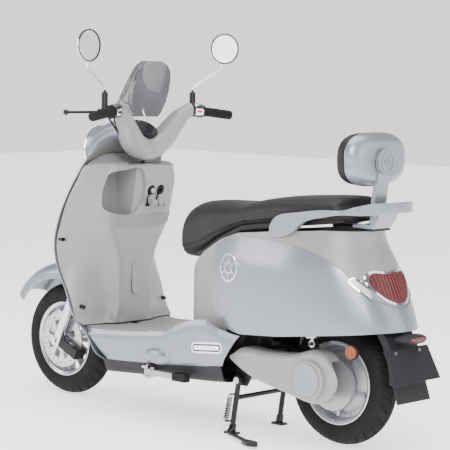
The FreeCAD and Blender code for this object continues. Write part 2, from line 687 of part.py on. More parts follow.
def wheel_well():
    profile = [V(446, 0, 566), V(436, 0, 430), V(424, 0, 260), V(352, 0, 150), V(349, 0, 151.5), V(420.5, 0, 261),
               V(432, 0, 430), V(442, 0, 566)]
    panel = prism([p + V(0, -129, 0) for p in profile], V(0, 258, 0))
    keep("wheel_well", panel)


# ---------------------------------------------------------------- floor and skirts
FLOOR_LINE = [(398, 303), (360, 300), (310, 299), (160, 313), (12, 329), (-16, 331)]
# x, top z, bottom z, half width
SKIRT = [
    (306, 296, 194, 203), (230, 302, 197, 206), (150, 309, 202, 207), (12, 325, 211, 207), (-40, 349, 215, 207),
    (-80, 366, 218, 206), (-121, 379, 222, 205), (-185, 385, 229, 204), (-212, 372, 233, 204),
    (-240, 361, 236, 203), (-300, 350, 245, 202), (-340, 346, 252, 201),
]


# the same, ahead of the floor, where the skirt meets the back of the apron
SKIRT_NOSE = [(402, 296, 270, 207), (360, 296, 232, 206), (330, 296, 208, 204)]


def floor_and_skirts():
    top = [V(x, -196, z) for x, z in FLOOR_LINE]
    under = [V(x, -196, z - 5) for x, z in FLOOR_LINE]
    edges = [open_curve(top), Part.LineSegment(top[-1], under[-1]).toShape(), open_curve(under),
             Part.LineSegment(under[0], top[0]).toShape()]
    floor = Part.Face(Part.Wire(edges)).extrude(V(0, 392, 0))
    keep("floorboard", floor.cut(box(335, 420, -21, 21, 270, 340)))
    wires = []
    for x, zt, zb, w in SKIRT_NOSE + SKIRT:
        mid = (zt + zb) / 2
        outer = [V(x, w - 4, zt), V(x, w + 1, zt - 14), V(x, w + 3, mid), V(x, w - 3, zb + 18), V(x, w - 14, zb)]
        inner = [p + V(0, -3, 0) for p in outer]
        wires.append(closed_section(outer, inner))
    skirt = loft(wires, True)
    skirt = skirt.cut(prism([V(-340, 0, 360), V(-250, 0, 238), V(-240, 0, 150), V(-400, 0, 150), V(-400, 0, 360)],
                            V(0, 300, 0)))
    skirt = skirt.cut(prism([V(x, 0, z) for x, z in (
        (292, 190), (294, 197), (358, 250), (393, 300), (600, 300), (600, 150), (292, 150))], V(0, 300, 0)))
    boss = Part.makeSphere(1.0)
    scale = FreeCAD.Matrix()
    scale.A11, scale.A22, scale.A33 = 62, 26, 30
    boss = boss.transformGeometry(scale)
    boss.translate(V(35, 199, 238))
    trim_way = slot_prism(V(-194, 150, 293), V(-1, 0, 0.10), V(0.10, 0, 1), 142, 38, V(0, 100, 0))
    skirt = skirt.fuse(boss.cut(box(-100, 200, 100, 203, 100, 400))).cut(trim_way)
    for side, piece in (("left", skirt), ("right", mirrored(skirt))):
        keep("side_skirt_" + side, piece)
    frame = slot_prism(V(-194, 199, 293), V(-1, 0, 0.10), V(0.10, 0, 1), 141, 37, V(0, 8, 0))
    frame = frame.cut(slot_prism(V(-194, 190, 293), V(-1, 0, 0.10), V(0.10, 0, 1), 129, 25, V(0, 30, 0)))
    bar = slot_prism(V(-194, 200, 293), V(-1, 0, 0.10), V(0.10, 0, 1), 118, 15, V(0, 8, 0))
    back = slot_prism(V(-194, 196, 293), V(-1, 0, 0.10), V(0.10, 0, 1), 141, 37, V(0, 2.8, 0))
    keep("skirt_trims", *both(frame), *both(bar.cut(box(-400, 0, 190, 200.2, 200, 400))))
    keep("trim_backing", *both(back))


def belly_pan():
    rows = [(326, 141), (220, 147), (60, 157), (-110, 166), (-180, 170), (-236, 175)]
    wires = []
    for x, zb in rows:
        zs = table(-x, [(-r[0], r[2]) for r in SKIRT], 1) - 1.5
        half = [(184, zs), (174, zs - (zs - zb) * 0.4), (160, zb + 6), (140, zb), (80, zb), (0, zb)]
        right = [V(x, -y, z) for y, z in half]
        outer = right + [V(x, y, z) for y, z in half[-2::-1]]
        inner = [V(x, p.y * 0.978, max(p.z + 3, zb + 3) if p.z < zs else zs) for p in outer]
        wires.append(closed_section(outer, inner))
    pan = loft(wires, True)
    keep("belly_pan", pan.cut([z for z in both(box(76, 106, 147, 220, 154, 199))]))


def footpegs():
    for side in ("left", "right"):
        put = bar_frame(side)
        ears = box(78, 104, 150, 210, 190, 197).fuse(box(78, 104, 150, 210, 157, 164))
        ears = ears.fuse(box(78, 104, 150, 176, 157, 197))
        pin = cyl(V(90, 198, 153), V(90, 198, 201), 4.0)
        ears = ears.cut(cyl(V(90, 198, 150), V(90, 198, 210), 4.0))
        keep("footpeg_brackets", put(ears), put(pin))
        eye = cyl(V(90, 198, 164.3), V(90, 198, 189.7), 10.5)
        arm = box(-58, 90, 189, 207, 168, 186)
        bore = cyl(V(90, 198, 150), V(90, 198, 210), 4.0 + RUN)
        keep(side + "_footpeg", put(eye.fuse(arm).cut(bore)))
        rubber = box(-100, -40, 184.5, 211.5, 163.5, 190.5)
        keep(side + "_peg_rubber", put(rubber.cut(box(-59, 100, 189, 207, 168, 186))))


# ---------------------------------------------------------------- rear body
# z, rear x at the middle, half width
REAR = [
    (352, -872, 194), (409, -868, 199), (468, -846, 202), (538, -814, 201), (604, -780, 194), (646, -756, 181),
    (679, -741, 167), (712, -738, 152), (735, -742, 145),
]


def body_outline(z, inset):
    """Plan outline of the rear body at height z, shrunk by inset."""
    r = table(z, REAR, 1) + inset
    w = table(z, REAR, 2) - inset
    k = w / 200.0
    f = -18.0 - inset
    half = [
        (f, 0), (f, 62), (f - 12, 104), (f - 52, 128 - inset), (-150, 150 * k), (-260, 184 * k), (-400, w),
    ]
    tail = r + 400
    for along, wide in ((0.386, 0.99), (0.541, 0.94), (0.734, 0.82), (0.891, 0.58), (0.978, 0.28), (1.0, 0)):
        half.append((-400 + tail * along, w * wide))
    pts = [V(x, y, z) for x, y in half]
    return closed_curve(pts + [V(p.x, -p.y, p.z) for p in pts[-2:0:-1]])


def body_solid(inset):
    return loft([body_outline(z, inset) for z in (340, 352, 409, 468, 538, 604, 646, 679, 712, 740)])


PANEL = [
    (-160, 590), (-178, 630), (-205, 653), (-290, 669), (-380, 671), (-462, 666), (-560, 655), (-636, 634),
    (-707, 597), (-750, 558), (-800, 508), (-850, 470), (-900, 462), (-900, 408), (-836, 403), (-658, 384),
    (-491, 364), (-318, 352), (-237, 364), (-198, 402), (-170, 450), (-158, 520),
]
# lower edge of the cowl, hidden behind the side panels
COWL_FOOT = [(-246, 366), (-318, 360), (-491, 371), (-658, 391), (-836, 410), (-920, 414)]
TAIL_LENS = [(0, 583), (45, 585), (82, 581), (91, 560), (76, 527), (42, 501), (0, 492), (-42, 501), (-76, 527),
             (-91, 560), (-82, 581), (-45, 585)]
SEAT_LINE = [(-18, 540), (-42, 545), (-64, 570), (-100, 600), (-189, 652), (-278, 680), (-438, 697), (-620, 712), (-760, 713)]


def rear_body():
    outer = body_solid(0.0)
    under = body_solid(4.0)
    inner = body_solid(7.0)
    void = body_solid(3.2)
    top_cut = prism([V(x, -250, z) for x, z in SEAT_LINE] + [V(-760, -250, 900), V(0, -250, 900), V(0, -250, 540)],
                    V(0, 500, 0))
    low_cut = prism([V(x, -250, z) for x, z in COWL_FOOT] + [V(-920, -250, 300), V(-246, -250, 300)], V(0, 500, 0))
    cowl = under.cut(inner).cut([top_cut, low_cut])
    lens_zone = smooth_prism([V(-900, y, z) for y, z in TAIL_LENS], V(300, 0, 0))
    bezel_zone = smooth_prism([V(-900, y * 1.10, 541 + (z - 541) * 1.16) for y, z in TAIL_LENS], V(300, 0, 0))
    cowl = cowl.cut(bezel_zone)
    keep("rear_cowl", cowl)
    edge = [V(x, 0, z) for x, z in PANEL]
    zone = prism(edge, V(0, 260, 0))
    shell = outer.cut(void)
    panel = shell.common(zone).cut([bezel_zone, box(-950, 0, -1, 0.5, 300, 700)])
    lamp_dir = V(-73, 0, -65)
    lamp_c = V(-775, 100, 537)
    lamp = slot_prism(lamp_c, lamp_dir, V(-65, 0, 73), 92, 13, V(0, 160, 0))
    lamp_rim = slot_prism(lamp_c, lamp_dir, V(-65, 0, 73), 100, 21, V(0, 160, 0))
    proud = body_solid(-2.5)
    lamp_shell = proud.cut(inner)
    panel = panel.cut(lamp_rim)
    for side, put in (("left", lambda s: s), ("right", mirrored)):
        keep("side_panel_" + side, put(panel))
        keep("marker_lenses", put(lamp_shell.common(lamp)))
        keep("marker_bezels", put(lamp_shell.common(lamp_rim).cut(lamp)))
    cowl_cut = PARTS["rear_cowl"][0].cut(both(lamp_rim))
    PARTS["rear_cowl"] = cowl_cut.Solids
    lamp_body = proud.cut(body_solid(14.0))
    back = box(-900, -690, -120, 120, 470, 610)
    keep("tail_light_lens", lamp_body.common(lens_zone).common(back))
    keep("tail_light_bezel", lamp_body.common(bezel_zone.cut(lens_zone)).common(back))
    badge_shell = body_solid(-4.0).cut(body_solid(-0.3))
    c = V(-268, 100, 566)
    rings = ring(c, c + V(0, 160, 0), 48, 41).fuse(ring(c, c + V(0, 160, 0), 22, 16))
    spokes = []
    for i in range(6):
        bar = Part.makeBox(25, 160, 4, c + V(20, 0, -2))
        bar.rotate(c, Y_AXIS, 30 + i * 60.0)
        spokes.append(bar)
    badge = badge_shell.common(rings.fuse(spokes))
    keep("side_emblems", *both(badge))


def storage():
    bucket = box(-480, -62, -104, 104, 560, 688).cut(box(-477, -65, -101, 101, 563, 700))
    cut = prism([V(x, -250, z - 3) for x, z in SEAT_LINE] + [V(-760, -250, 900), V(0, -250, 900), V(0, -250, 537)],
                V(0, 500, 0))
    keep("storage_bucket", bucket.cut(cut))
    pack = box(-232, -45, -88, 88, 262, 530)
    keep("battery_pack", pack.makeFillet(8, [e for e in pack.Edges if e.Length > 200]))
    keep("battery_pack", tube([V(-100, 0, 530), V(-100, 0, 548), V(-180, 0, 548), V(-180, 0, 530)], 5, 8)
         .cut(box(-300, 0, -50, 50, 500, 530.01)))
    ctrl = box(-392, -302, -58, 58, 430, 520)
    fins = [box(-392, -302, -50 + i * 14, -46 + i * 14, 520, 530) for i in range(8)]
    keep("motor_controller", ctrl.fuse(fins))


# ---------------------------------------------------------------- seat
# x, bottom z, top z, half width
SEAT = [
    (63, 580, 612, 44), (52, 569, 672, 76), (30, 567, 728, 98), (-13, 570, 758, 114), (-71, 590, 769, 124),
    (-150, 636, 773, 132), (-252, 683, 777, 138), (-320, 694, 792, 141), (-419, 706, 806, 143), (-520, 718, 814, 143),
    (-613, 729, 819, 138), (-662, 736, 815, 126), (-690, 744, 798, 100),
]


def seat_section(x, zb, zt, w, flat=0.78):
    mid = (zb + zt) / 2
    h = (zt - zb) / 2
    pts = []
    for i in range(20):
        a = 2 * math.pi * i / 20
        c, s = math.cos(a), math.sin(a)
        y = w * math.copysign(abs(c) ** flat, c)
        z = mid + h * math.copysign(abs(s) ** flat, s)
        pts.append(V(x, y, z))
    return closed_curve(pts)


def seat_bottom(x):
    return table(-x, [(-r[0], r[1]) for r in SEAT], 1)


def seat():
    cushion = loft([seat_section(*row) for row in SEAT])
    wires = []
    for x in (-40, -71, -150, -252, -320, -419, -520, -613, -672):
        w = table(-x, [(-r[0], r[3]) for r in SEAT], 1) - 22
        zb = seat_bottom(x)
        pts = [V(x, w, zb + 1), V(x, w, zb + 16), V(x, -w, zb + 16), V(x, -w, zb + 1)]
        wires.append(Part.makePolygon(pts + [pts[0]]))
    pan = Part.makeLoft(wires, True, True)
    foam = cushion.cut(pan)
    keep("seat_cushion", foam)
    hinge = SEAT_HINGE
    ears = []
    for s in (1, -1):
        ear = box(hinge.x - 46, hinge.x, s * 40 - 4, s * 40 + 4, hinge.z - 5, hinge.z + 30)
        ear = ear.fuse(cyl(V(hinge.x, s * 40 - 4, hinge.z), V(hinge.x, s * 40 + 4, hinge.z), 9))
        ears.append(ear)
    bore = cyl(V(hinge.x, -70, hinge.z), V(hinge.x, 70, hinge.z), 5.0 + RUN)
    pan = pan.fuse([ear.cut(foam) for ear in ears]).cut(bore)
    keep("seat_pan", pan)
    keep("seat_hinge_pin", cyl(V(hinge.x, -60, hinge.z), V(hinge.x, 60, hinge.z), 5.0))
    for s in (1, -1):
        lug = box(hinge.x - 8.4, hinge.x + 8, s * 56 - 4, s * 56 + 4, hinge.z - 40, hinge.z)
        lug = lug.fuse(cyl(V(hinge.x, s * 56 - 4, hinge.z), V(hinge.x, s * 56 + 4, hinge.z), 8))
        keep("seat_hinge_lugs", lug.cut(cyl(V(hinge.x, -70, hinge.z), V(hinge.x, 70, hinge.z), 5.0)))


# ---------------------------------------------------------------- grab rail and backrest
RAIL_SIDE = [
    (-424, 697), (-430, 724), (-452, 746), (-517, 763), (-661, 781), (-752, 793), (-806, 801), (-806, 783),
    (-752, 770), (-641, 756), (-551, 727), (-520, 700), (-500, 690),
]


def grab_rail():
    def u_shape(w, x_end, r):
        pts = [V(-380, w, 660), V(x_end + r, w, 660), V(x_end + r * 0.3, w * 0.86, 660), V(x_end + 5, w * 0.5, 660),
               V(x_end, 0, 660), V(x_end + 5, -w * 0.5, 660), V(x_end + r * 0.3, -w * 0.86, 660),
               V(x_end + r, -w, 660), V(-380, -w, 660)]
        curve = open_curve(pts[1:-1])
        return Part.Wire([Part.LineSegment(pts[0], pts[1]).toShape(), curve,
                          Part.LineSegment(pts[-2], pts[-1]).toShape(),
                          Part.LineSegment(pts[-1], pts[0]).toShape()])

    band = Part.Face(u_shape(168, -797, 110)).extrude(V(0, 0, 160))
    band = band.cut(Part.Face(u_shape(149, -766, 100)).extrude(V(0, 0, 160)))
    side = smooth_prism([V(x, -200, z) for x, z in RAIL_SIDE], V(0, 400, 0))
    rail = band.common(side)
    foot_line = [V(-797, -48, 797), V(-764, -48, 797), V(-758, -48, 768), V(-738, -48, 742), V(-700, -48, 733),
                 V(-672, -48, 731), V(-672, -48, 722), V(-752, -48, 722), V(-776, -48, 760)]
    foot = prism(foot_line, V(0, 96, 0))
    bracket_way = prism(bracket_outline(0.0), V(0, 80, 0))
    rail = rail.cut(body_solid(3.0)).fuse(foot)
    keep("grab_rail", rail.cut(bracket_way))
    pads = box(-750, -674, -46, 46, 714, 722)
    keep("rail_rubber_pad", pads)


def bracket_outline(grow):
    """Side outline of the backrest bracket, 60 wide, standing in the rear foot of the rail."""
    return [V(x, -30, z) for x, z in (
        (-742 + grow, 735), (-726 + grow, 735), (-728 + grow, 800), (-738 + grow, 880), (-752 + grow, 930),
        (-766 - grow, 930), (-754 - grow, 880), (-743 - grow, 800))]


def oval(x, w, h, z_mid, flat=0.7):
    pts = []
    for i in range(20):
        a = 2 * math.pi * i / 20
        c, s = math.cos(a), math.sin(a)
        pts.append(V(x, w * math.copysign(abs(c) ** flat, c), z_mid + h * math.copysign(abs(s) ** flat, s)))
    return closed_curve(pts)


def backrest():
    plate = prism(bracket_outline(0.0), V(0, 60, 0))
    boss = cyl(V(-769, 0, 934), V(-753, 0, 934), 42)
    shell = loft([oval(x, w, h, 940) for x, w, h in (
        (-751, 88, 48), (-746, 116, 68), (-734, 134, 79), (-714, 144, 86), (-708, 144, 86))])
    bracket = plate.cut(shell).fuse(boss.cut(shell))
    boss_ring = ring(V(-772, 0, 934), V(-769, 0, 934), 33, 27).fuse(ring(V(-771, 0, 934), V(-769, 0, 934), 14, 9))
    keep("backrest_bracket", bracket)
    keep("backrest_badge", boss_ring)
    keep("backrest_shell", shell)
    keep("backrest_cushion", loft([oval(x, w, h, 940) for x, w, h in (
        (-707.5, 142, 84), (-694, 143, 85), (-672, 134, 77), (-658, 112, 60), (-652, 70, 34))]))
    keep("backrest_bolts", cyl(V(-750, 0, 768), V(-743, 0, 768), 8))


# ---------------------------------------------------------------- tail
FENDER_C = V(-610, 0, 240)


def rear_fender():
    section = [(268, -72), (268, 72), (244, 72), (244, 69), (265, 69), (265, -69), (244, -69), (244, -72)]
    pts = [FENDER_C + V(-r, y, 0) for r, y in section]
    arc = Part.Face(Part.makePolygon(pts + [pts[0]])).revolve(FENDER_C, Y_AXIS, 100)
    keep("rear_fender", arc)
    flap = prism([V(-874, -84, 252), V(-879, -84, 252), V(-882, -84, 236), V(-900, -84, 186), V(-896, -84, 184),
                  V(-878, -84, 236)], V(0, 168, 0))
    flap = flap.cut(arc)
    keep("mudflap", flap)
    d = V(-56, 0, -101).normalize()
    n = V(-101, 0, 56).normalize()
    top = V(-858, 0, 352)
    a, b = top + V(0, 114, 0), top + V(0, -114, 0)
    plate = prism([a, b, b + d * 115, a + d * 115], n * 2.0)
    holes = [cyl(top + d * 14 + V(0, s * 62, 0) - n * 5, top + d * 14 + V(0, s * 62, 0) + n * 5, 3.0) for s in (1, -1)]
    keep("number_plate", plate.cut(holes))
    bracket = prism([p - n * 3.2 for p in (top + V(0, 60, 0) + d * 6, top + V(0, -60, 0) + d * 6,
                                           top + V(0, -60, 0) + d * 60, top + V(0, 60, 0) + d * 60)], n * 3.0)
    keep("plate_bracket", bracket.cut(PARTS["rear_fender"][0]))
    for s in (1, -1):
        at = top + d * 14 + V(0, s * 62, 0)
        keep("plate_bolts", cyl(at, at + n * 2, 3.0).fuse(cyl(at + n * 2, at + n * 5, 6)))
    housing = loft([oval(x, w, h, 384, 0.8) for x, w, h in ((-862, 62, 12), (-885, 58, 15), (-908, 44, 13))])
    lens = loft([oval(x, w, h, 384, 0.8) for x, w, h in ((-908.2, 38, 9.5), (-914, 34, 7))])
    keep("tail_reflector_housing", housing.cut(body_solid(0.0)).cut(PARTS["rear_fender"][0]))
    keep("tail_reflector", lens)
    for s in (1, -1):
        stalk = cyl(V(-734, s * 72, 334), V(-734, s * 106, 334), 10)
        cup = cyl(V(-734, s * 106, 334), V(-734, s * 114, 334), 24)
        keep("side_reflector_cups", stalk.fuse(cup))
        keep("side_reflectors", cyl(V(-734, s * 114, 334), V(-734, s * 121, 334), 21))


# ---------------------------------------------------------------- frame
def frame():
    low, high = fork(0, 0, HEAD_LOW), fork(0, 0, HEAD_HIGH)
    head = cyl(low, high, 26)
    head = head.fuse([cyl(low, low + E_UP * 14, 29), cyl(high - E_UP * 14, high, 29)])
    down = tube([V(440, 0, 650), V(406, 0, 520), V(394, 0, 335), V(350, 0, 241), V(250, 0, 241)], 17, 50)
    spine = down.fuse(head)
    spine = spine.cut(cyl(low - E_UP * 10, high + E_UP * 10, 17))
    for a, b in ((low - E_UP, low + E_UP * 12), (high - E_UP * 12, high + E_UP)):
        spine = spine.cut(cyl(a, b, 21))
    keep("main_frame", spine)
    for s in (1, -1):
        rail = tube([V(300, s * 17.2, 241), V(286, s * 60, 240), V(262, s * 90.5, 238), V(60, s * 90.5, 238),
                     V(-272, s * 90.5, 246)], 13.4, 40)
        rail = rail.cut(cyl(V(240, 0, 241), V(330, 0, 241), 17.1))
        keep("floor_rail_left" if s > 0 else "floor_rail_right", rail)
    for x in (150, -30, -250):
        z = 238 if x > 0 else 238 + (60 - x) * 8 / 360.0
        keep("frame_crossmembers", cyl(V(x, -77.1, z), V(x, 77.1, z), 9))
    outline = [V(x, 104, z) for x, z in (
        (-254, 166), (-290, 166), (-326, 232), (-342, 330), (-342, 440), (-304, 440), (-282, 330), (-242, 274),
        (-242, 205), (-254, 192))]
    plate = prism(outline, V(0, 6, 0))
    plate = plate.cut([cyl(V(p.x, 90, p.z), V(p.x, 120, p.z), r) for p, r in ((SWING_PIVOT, 12), (STAND_PIVOT, 8))])
    keep("pivot_plates", *both(plate))
    for s in (1, -1):
        rail = tube([V(-320, s * 122.6, 382), V(-332, s * 122.6, 520), V(-388, s * 122.6, 640),
                     V(-596, s * 122.6, 676)], 12.5, 60)
        keep("rear_rail_left" if s > 0 else "rear_rail_right", rail)
        mount = prism([V(-515, s * 109, 652), V(-575, s * 109, 660), V(-556, s * 109, 592), V(-534, s * 109, 592)],
                      V(0, s * -6, 0))
        mount = mount.fuse(cyl(V(-545, s * 109, 600), V(-545, s * 86, 600), 6.0))
        keep("shock_mounts", mount)
    keep("swingarm_pivot_bolt", cyl(SWING_PIVOT - V(0, 116, 0), SWING_PIVOT + V(0, 116, 0), 12)
         .fuse([cyl(SWING_PIVOT + V(0, s * 110.1, 0), SWING_PIVOT + V(0, s * 118, 0), 17) for s in (1, -1)]))
    keep("stand_pivot_shaft", cyl(STAND_PIVOT - V(0, 134, 0), STAND_PIVOT + V(0, 134, 0), 8)
         .fuse([cyl(STAND_PIVOT + V(0, s * 131, 0), STAND_PIVOT + V(0, s * 136, 0), 12) for s in (1, -1)]))


# ---------------------------------------------------------------- rear suspension
DRIVE_OUTLINE = [
    (-286, 276), (-300, 300), (-340, 307), (-400, 303), (-475, 305), (-551, 315), (-602, 330), (-650, 326),
    (-688, 300), (-708, 258), (-706, 215), (-682, 180), (-640, 160), (-590, 160), (-540, 170), (-470, 184),
    (-392, 200), (-320, 226), (-292, 250),
]


def drive_wire(y, inset):
    cx = sum(p[0] for p in DRIVE_OUTLINE) / len(DRIVE_OUTLINE)
    pts = []
    n = len(DRIVE_OUTLINE)
    for i, (x, z) in enumerate(DRIVE_OUTLINE):
        (xa, za), (xb, zb) = DRIVE_OUTLINE[i - 1], DRIVE_OUTLINE[(i + 1) % n]
        tx, tz = xb - xa, zb - za
        d = math.hypot(tx, tz)
        pts.append(V(x - inset * tz / d * -1, y, z + inset * tx / d * 1))
    return closed_curve(pts)


def swingarm():
    c = V(REAR_AXLE_X, 0, REAR_AXLE_Z)
    profile = [(-282, 286), (-300, 293), (-400, 268), (-560, 246), (-610, 243), (-640, 226), (-640, 200), (-610, 183),
               (-560, 196), (-400, 228), (-300, 246), (-282, 254)]
    arms = both(prism([V(x, 66, z) for x, z in profile], V(0, 20, 0)))
    hub = ring(SWING_PIVOT - V(0, 98, 0), SWING_PIVOT + V(0, 98, 0), 22, 12 + RUN)
    brace = box(-394, -372, -66, 66, 232, 262)
    lugs = []
    for s in (1, -1):
        lug = prism([V(-540, s * 86, 230), V(-590, s * 86, 230), V(-576, s * 86, 352), V(-546, s * 86, 352)],
                    V(0, s * 6, 0))
        lug = lug.fuse(cyl(V(SHOCK_FOOT.x, s * 86, SHOCK_FOOT.z), V(SHOCK_FOOT.x, s * 109, SHOCK_FOOT.z), 6.0))
        lugs.append(lug)
    body = arms[0].fuse([arms[1], hub, brace] + lugs)
    body = body.cut([cyl(SWING_PIVOT - V(0, 120, 0), SWING_PIVOT + V(0, 120, 0), 12 + RUN),
                     cyl(c - V(0, 120, 0), c + V(0, 120, 0), 8.0)])
    keep("swingarm", body)
    keep("rear_axle", cyl(c - V(0, 98, 0), c + V(0, 98, 0), 8.0).fuse(
        [cyl(c + V(0, s * 86.1, 0), c + V(0, s * 97, 0), 14) for s in (1, -1)]))
    # hub motor housing between the left arm and the wheel
    keep("motor_housing", ring(c + V(0, 50, 0), c + V(0, 65.9, 0), 88, 8.0))
    keep("axle_spacers", ring(c - V(0, 65.9, 0), c - V(0, 27.3, 0), 12, 8.0),
         ring(c + V(0, 18.3, 0), c + V(0, 49.9, 0), 12, 8.0))
    shell = loft([drive_wire(112, 0), drive_wire(150, 0)]).fuse(loft([drive_wire(150, 0), drive_wire(166, 7),
                                                                     drive_wire(173, 18)]))
    cap_c = V(-612, 0, 237)
    boss = cyl(cap_c + V(0, 160, 0), cap_c + V(0, 188, 0), 64)
    boss = boss.makeFillet(7, [e for e in boss.Edges if e.BoundBox.YMin > 187])
    shell = shell.fuse(boss)
    hollow = loft([drive_wire(111, 5), drive_wire(160, 6)])
    shell = shell.cut(hollow)
    shell = shell.cut(cyl(cap_c + V(0, 182, 0), cap_c + V(0, 200, 0), 53))
    keep("drive_cover", shell)
    keep("drive_cap", cyl(cap_c + V(0, 182, 0), cap_c + V(0, 192, 0), 52.6))


def shocks():
    """Each unit: upper body on the frame pin, rod on the swingarm pin, spring round both."""
    for side, s in (("left", 1), ("right", -1)):
        top = SHOCK_TOP + V(0, s * 98, 0)
        foot = SHOCK_FOOT + V(0, s * 98, 0)
        d = (foot - top).normalize()
        length = (foot - top).Length
        y0, y1 = V(0, -5, 0), V(0, 5, 0)
        body = cyl(top + d * 16, top + d * 150, 14).fuse(cyl(top + y0, top + y1, 16.5))
        body = body.fuse(cyl(top + d * 18, top + d * 24, 24))
        body = body.cut([cyl(top + y0 * 3, top + y1 * 3, 6 + RUN), cyl(top + d * 30, top + d * 160, 8)])
        keep(side + "_shock_body", body)
        rod = cyl(top + d * 128, foot, 6).fuse(cyl(foot + y0, foot + y1, 12))
        rod = rod.fuse(cyl(foot - d * 26, foot - d * 20, 24))
        keep(side + "_shock_rod", rod.cut(cyl(foot + y0 * 3, foot + y1 * 3, 6 + RUN)))
        a = top + d * 24.5
        coil_len = length - 24.5 - 26.5 - 6.5
        helix = Part.makeHelix(coil_len / 9.0, coil_len, 19.0)
        start = V(19.0, 0, 0)
        wire = Part.Wire(Part.makeCircle(3.0, start, Y_AXIS))
        coil = Part.Wire(helix).makePipeShell([wire], True, True)
        coil.Placement = FreeCAD.Placement(a + d * 3.2, FreeCAD.Rotation(Z_AXIS, d))
        keep(side + "_shock_spring", coil)


# ---------------------------------------------------------------- centre stand
def stand():
    p = STAND_PIVOT
    legs = []
    for s in (1, -1):
        eye = cyl(p + V(0, s * 111.2, 0), p + V(0, s * 129.8, 0), 17)
        leg = tube([p + V(0, s * 120.5, 0), V(-250, s * 120.5, 95), V(-238, s * 120.5, 12)], 9, 60)
        foot = box(-262, -212, s * 120.5 - 14, s * 120.5 + 14, 0, 7)
        shin = prism([V(-247, s * 120.5 - 8, 6), V(-228, s * 120.5 - 8, 6), V(-232, s * 120.5 - 8, 34),
                      V(-250, s * 120.5 - 8, 34)], V(0, 16, 0))
        legs += [eye, leg, foot, shin]
    bar = cyl(V(-254.5, -118.5, 124), V(-254.5, 118.5, 124), 8)
    brace = cyl(V(-245, -118.5, 62), V(-254, 118.5, 62), 5)
    lever = tube([V(-240, 122, 26), V(-262, 168, 15), V(-410, 236, 15)], 6.5, 22)
    pad = smooth_prism([V(x, y, 8) for x, y in (
        (-396, 222), (-420, 222), (-452, 232), (-462, 248), (-440, 262), (-404, 252), (-388, 238))], V(0, 0, 12))
    hooks = [cyl(V(-240, 122, 44), V(-225, 143, 44), 3.0), cyl(V(-256, 122, 137), V(-244, 144, 137), 3.0)]
    frame_solid = legs[0].fuse(legs[1:] + [bar, lever, pad] + hooks)
    bore = cyl(p - V(0, 140, 0), p + V(0, 140, 0), 8 + RUN)
    keep("center_stand", frame_solid.cut(bore).cut(box(-600, 0, -300, 300, -20, 0)))
    helix = Part.makeHelix(6.2, 82, 7.5)
    wire = Part.Wire(Part.makeCircle(1.6, V(7.5, 0, 0), Y_AXIS))
    coil = Part.Wire(helix).makePipeShell([wire], True, True)
    coil.Placement = FreeCAD.Placement(V(-226, 140, 49.5), FreeCAD.Rotation(Z_AXIS, V(-18, 0, 82)))
    keep("stand_spring", coil)


# ---------------------------------------------------------------- lamps and instruments on the steering
def headlight(cover_outer):
    stations = [(386, 31, 992), (430, 37, 990), (470, 51, 970), (500, 69, 938), (520, 79, 921), (534, 82, 915)]
    outer = loft([Part.Wire(Part.makeCircle(r, V(x, 0, z), X_AXIS)) for x, r, z in stations])
    inner = loft([Part.Wire(Part.makeCircle(r - 3, V(x + (3 if i == 0 else 0.5 if i == 5 else 0), 0, z), X_AXIS))
                  for i, (x, r, z) in enumerate(stations)])
    shell = outer.cut(inner)
    arm = cyl(V(359, 0, 959), V(480, 0, 988), 6.0)
    shell = shell.cut(cyl(V(359, 0, 959), V(480, 0, 988), 6.2))
    keep("headlight_shell", shell)
    keep("headlight_bracket", arm)
    c = V(534, 0, 915)
    keep("headlight_rim", ring(c, c + V(9, 0, 0), 86, 74).cut(cyl(c, c + V(4, 0, 0), 78)))
    keep("headlight_lens", cyl(c + V(0.3, 0, 0), c + V(3.6, 0, 0), 77.6))
    reflector = loft([Part.Wire(Part.makeCircle(r, V(x, 0, z), X_AXIS)) for x, r, z in (
        (500.5, 22, 915), (516, 52, 915), (531, 70, 915))])
    hollow = loft([Part.Wire(Part.makeCircle(r, V(x, 0, z), X_AXIS)) for x, r, z in (
        (503, 16, 915), (518, 49, 915), (532, 68.5, 915))])
    keep("headlight_reflector", reflector.cut(hollow))
    # instrument: an oval dark unit in the saddle of the cover
    tilt = V(96, 0, 58).normalize()
    up = V(-58, 0, 96).normalize()
    mid = V(327, 0, 1000)

    def plan(k, lift):
        pts = []
        for i in range(20):
            a = 2 * math.pi * i / 20
            pts.append(mid + tilt * (52 * k * math.cos(a)) + V(0, 60 * k * math.sin(a), 0) + up * lift)
        return closed_curve(pts)

    unit = loft([plan(0.8, -30), plan(0.98, -6), plan(1.0, 0)])
    arm_ways = [tube(windshield_arm(s), 4.4, 18) for s in (1, -1)]
    keep("instrument_body", unit.cut([cover_outer] + arm_ways))
    keep("instrument_glass", loft([plan(0.93, 0.2), plan(0.9, 3.4)]))


def controls_cables():
    for s in (1, -1):
        hose = tube(hose_path(s), 3.0, 24)
        lead = tube(lead_path(s), 2.5, 24)
        keep("control_cables", hose, lead)


# ---------------------------------------------------------------- build
def build():
    front_wheel()
    rear_wheel()
    front_fork()
    bar, cover = handlebar_group()
    grips_and_levers(bar)
    switches()
    mirrors()
    windshield()
    headlight(cover)
    controls_cables()
    front_fender()
    front_apron()
    inner_leg_shield()
    shield_fittings()
    wheel_well()
    floor_and_skirts()
    belly_pan()
    footpegs()
    rear_body()
    storage()
    seat()
    grab_rail()
    backrest()
    rear_fender()
    frame()
    swingarm()
    shocks()
    stand()


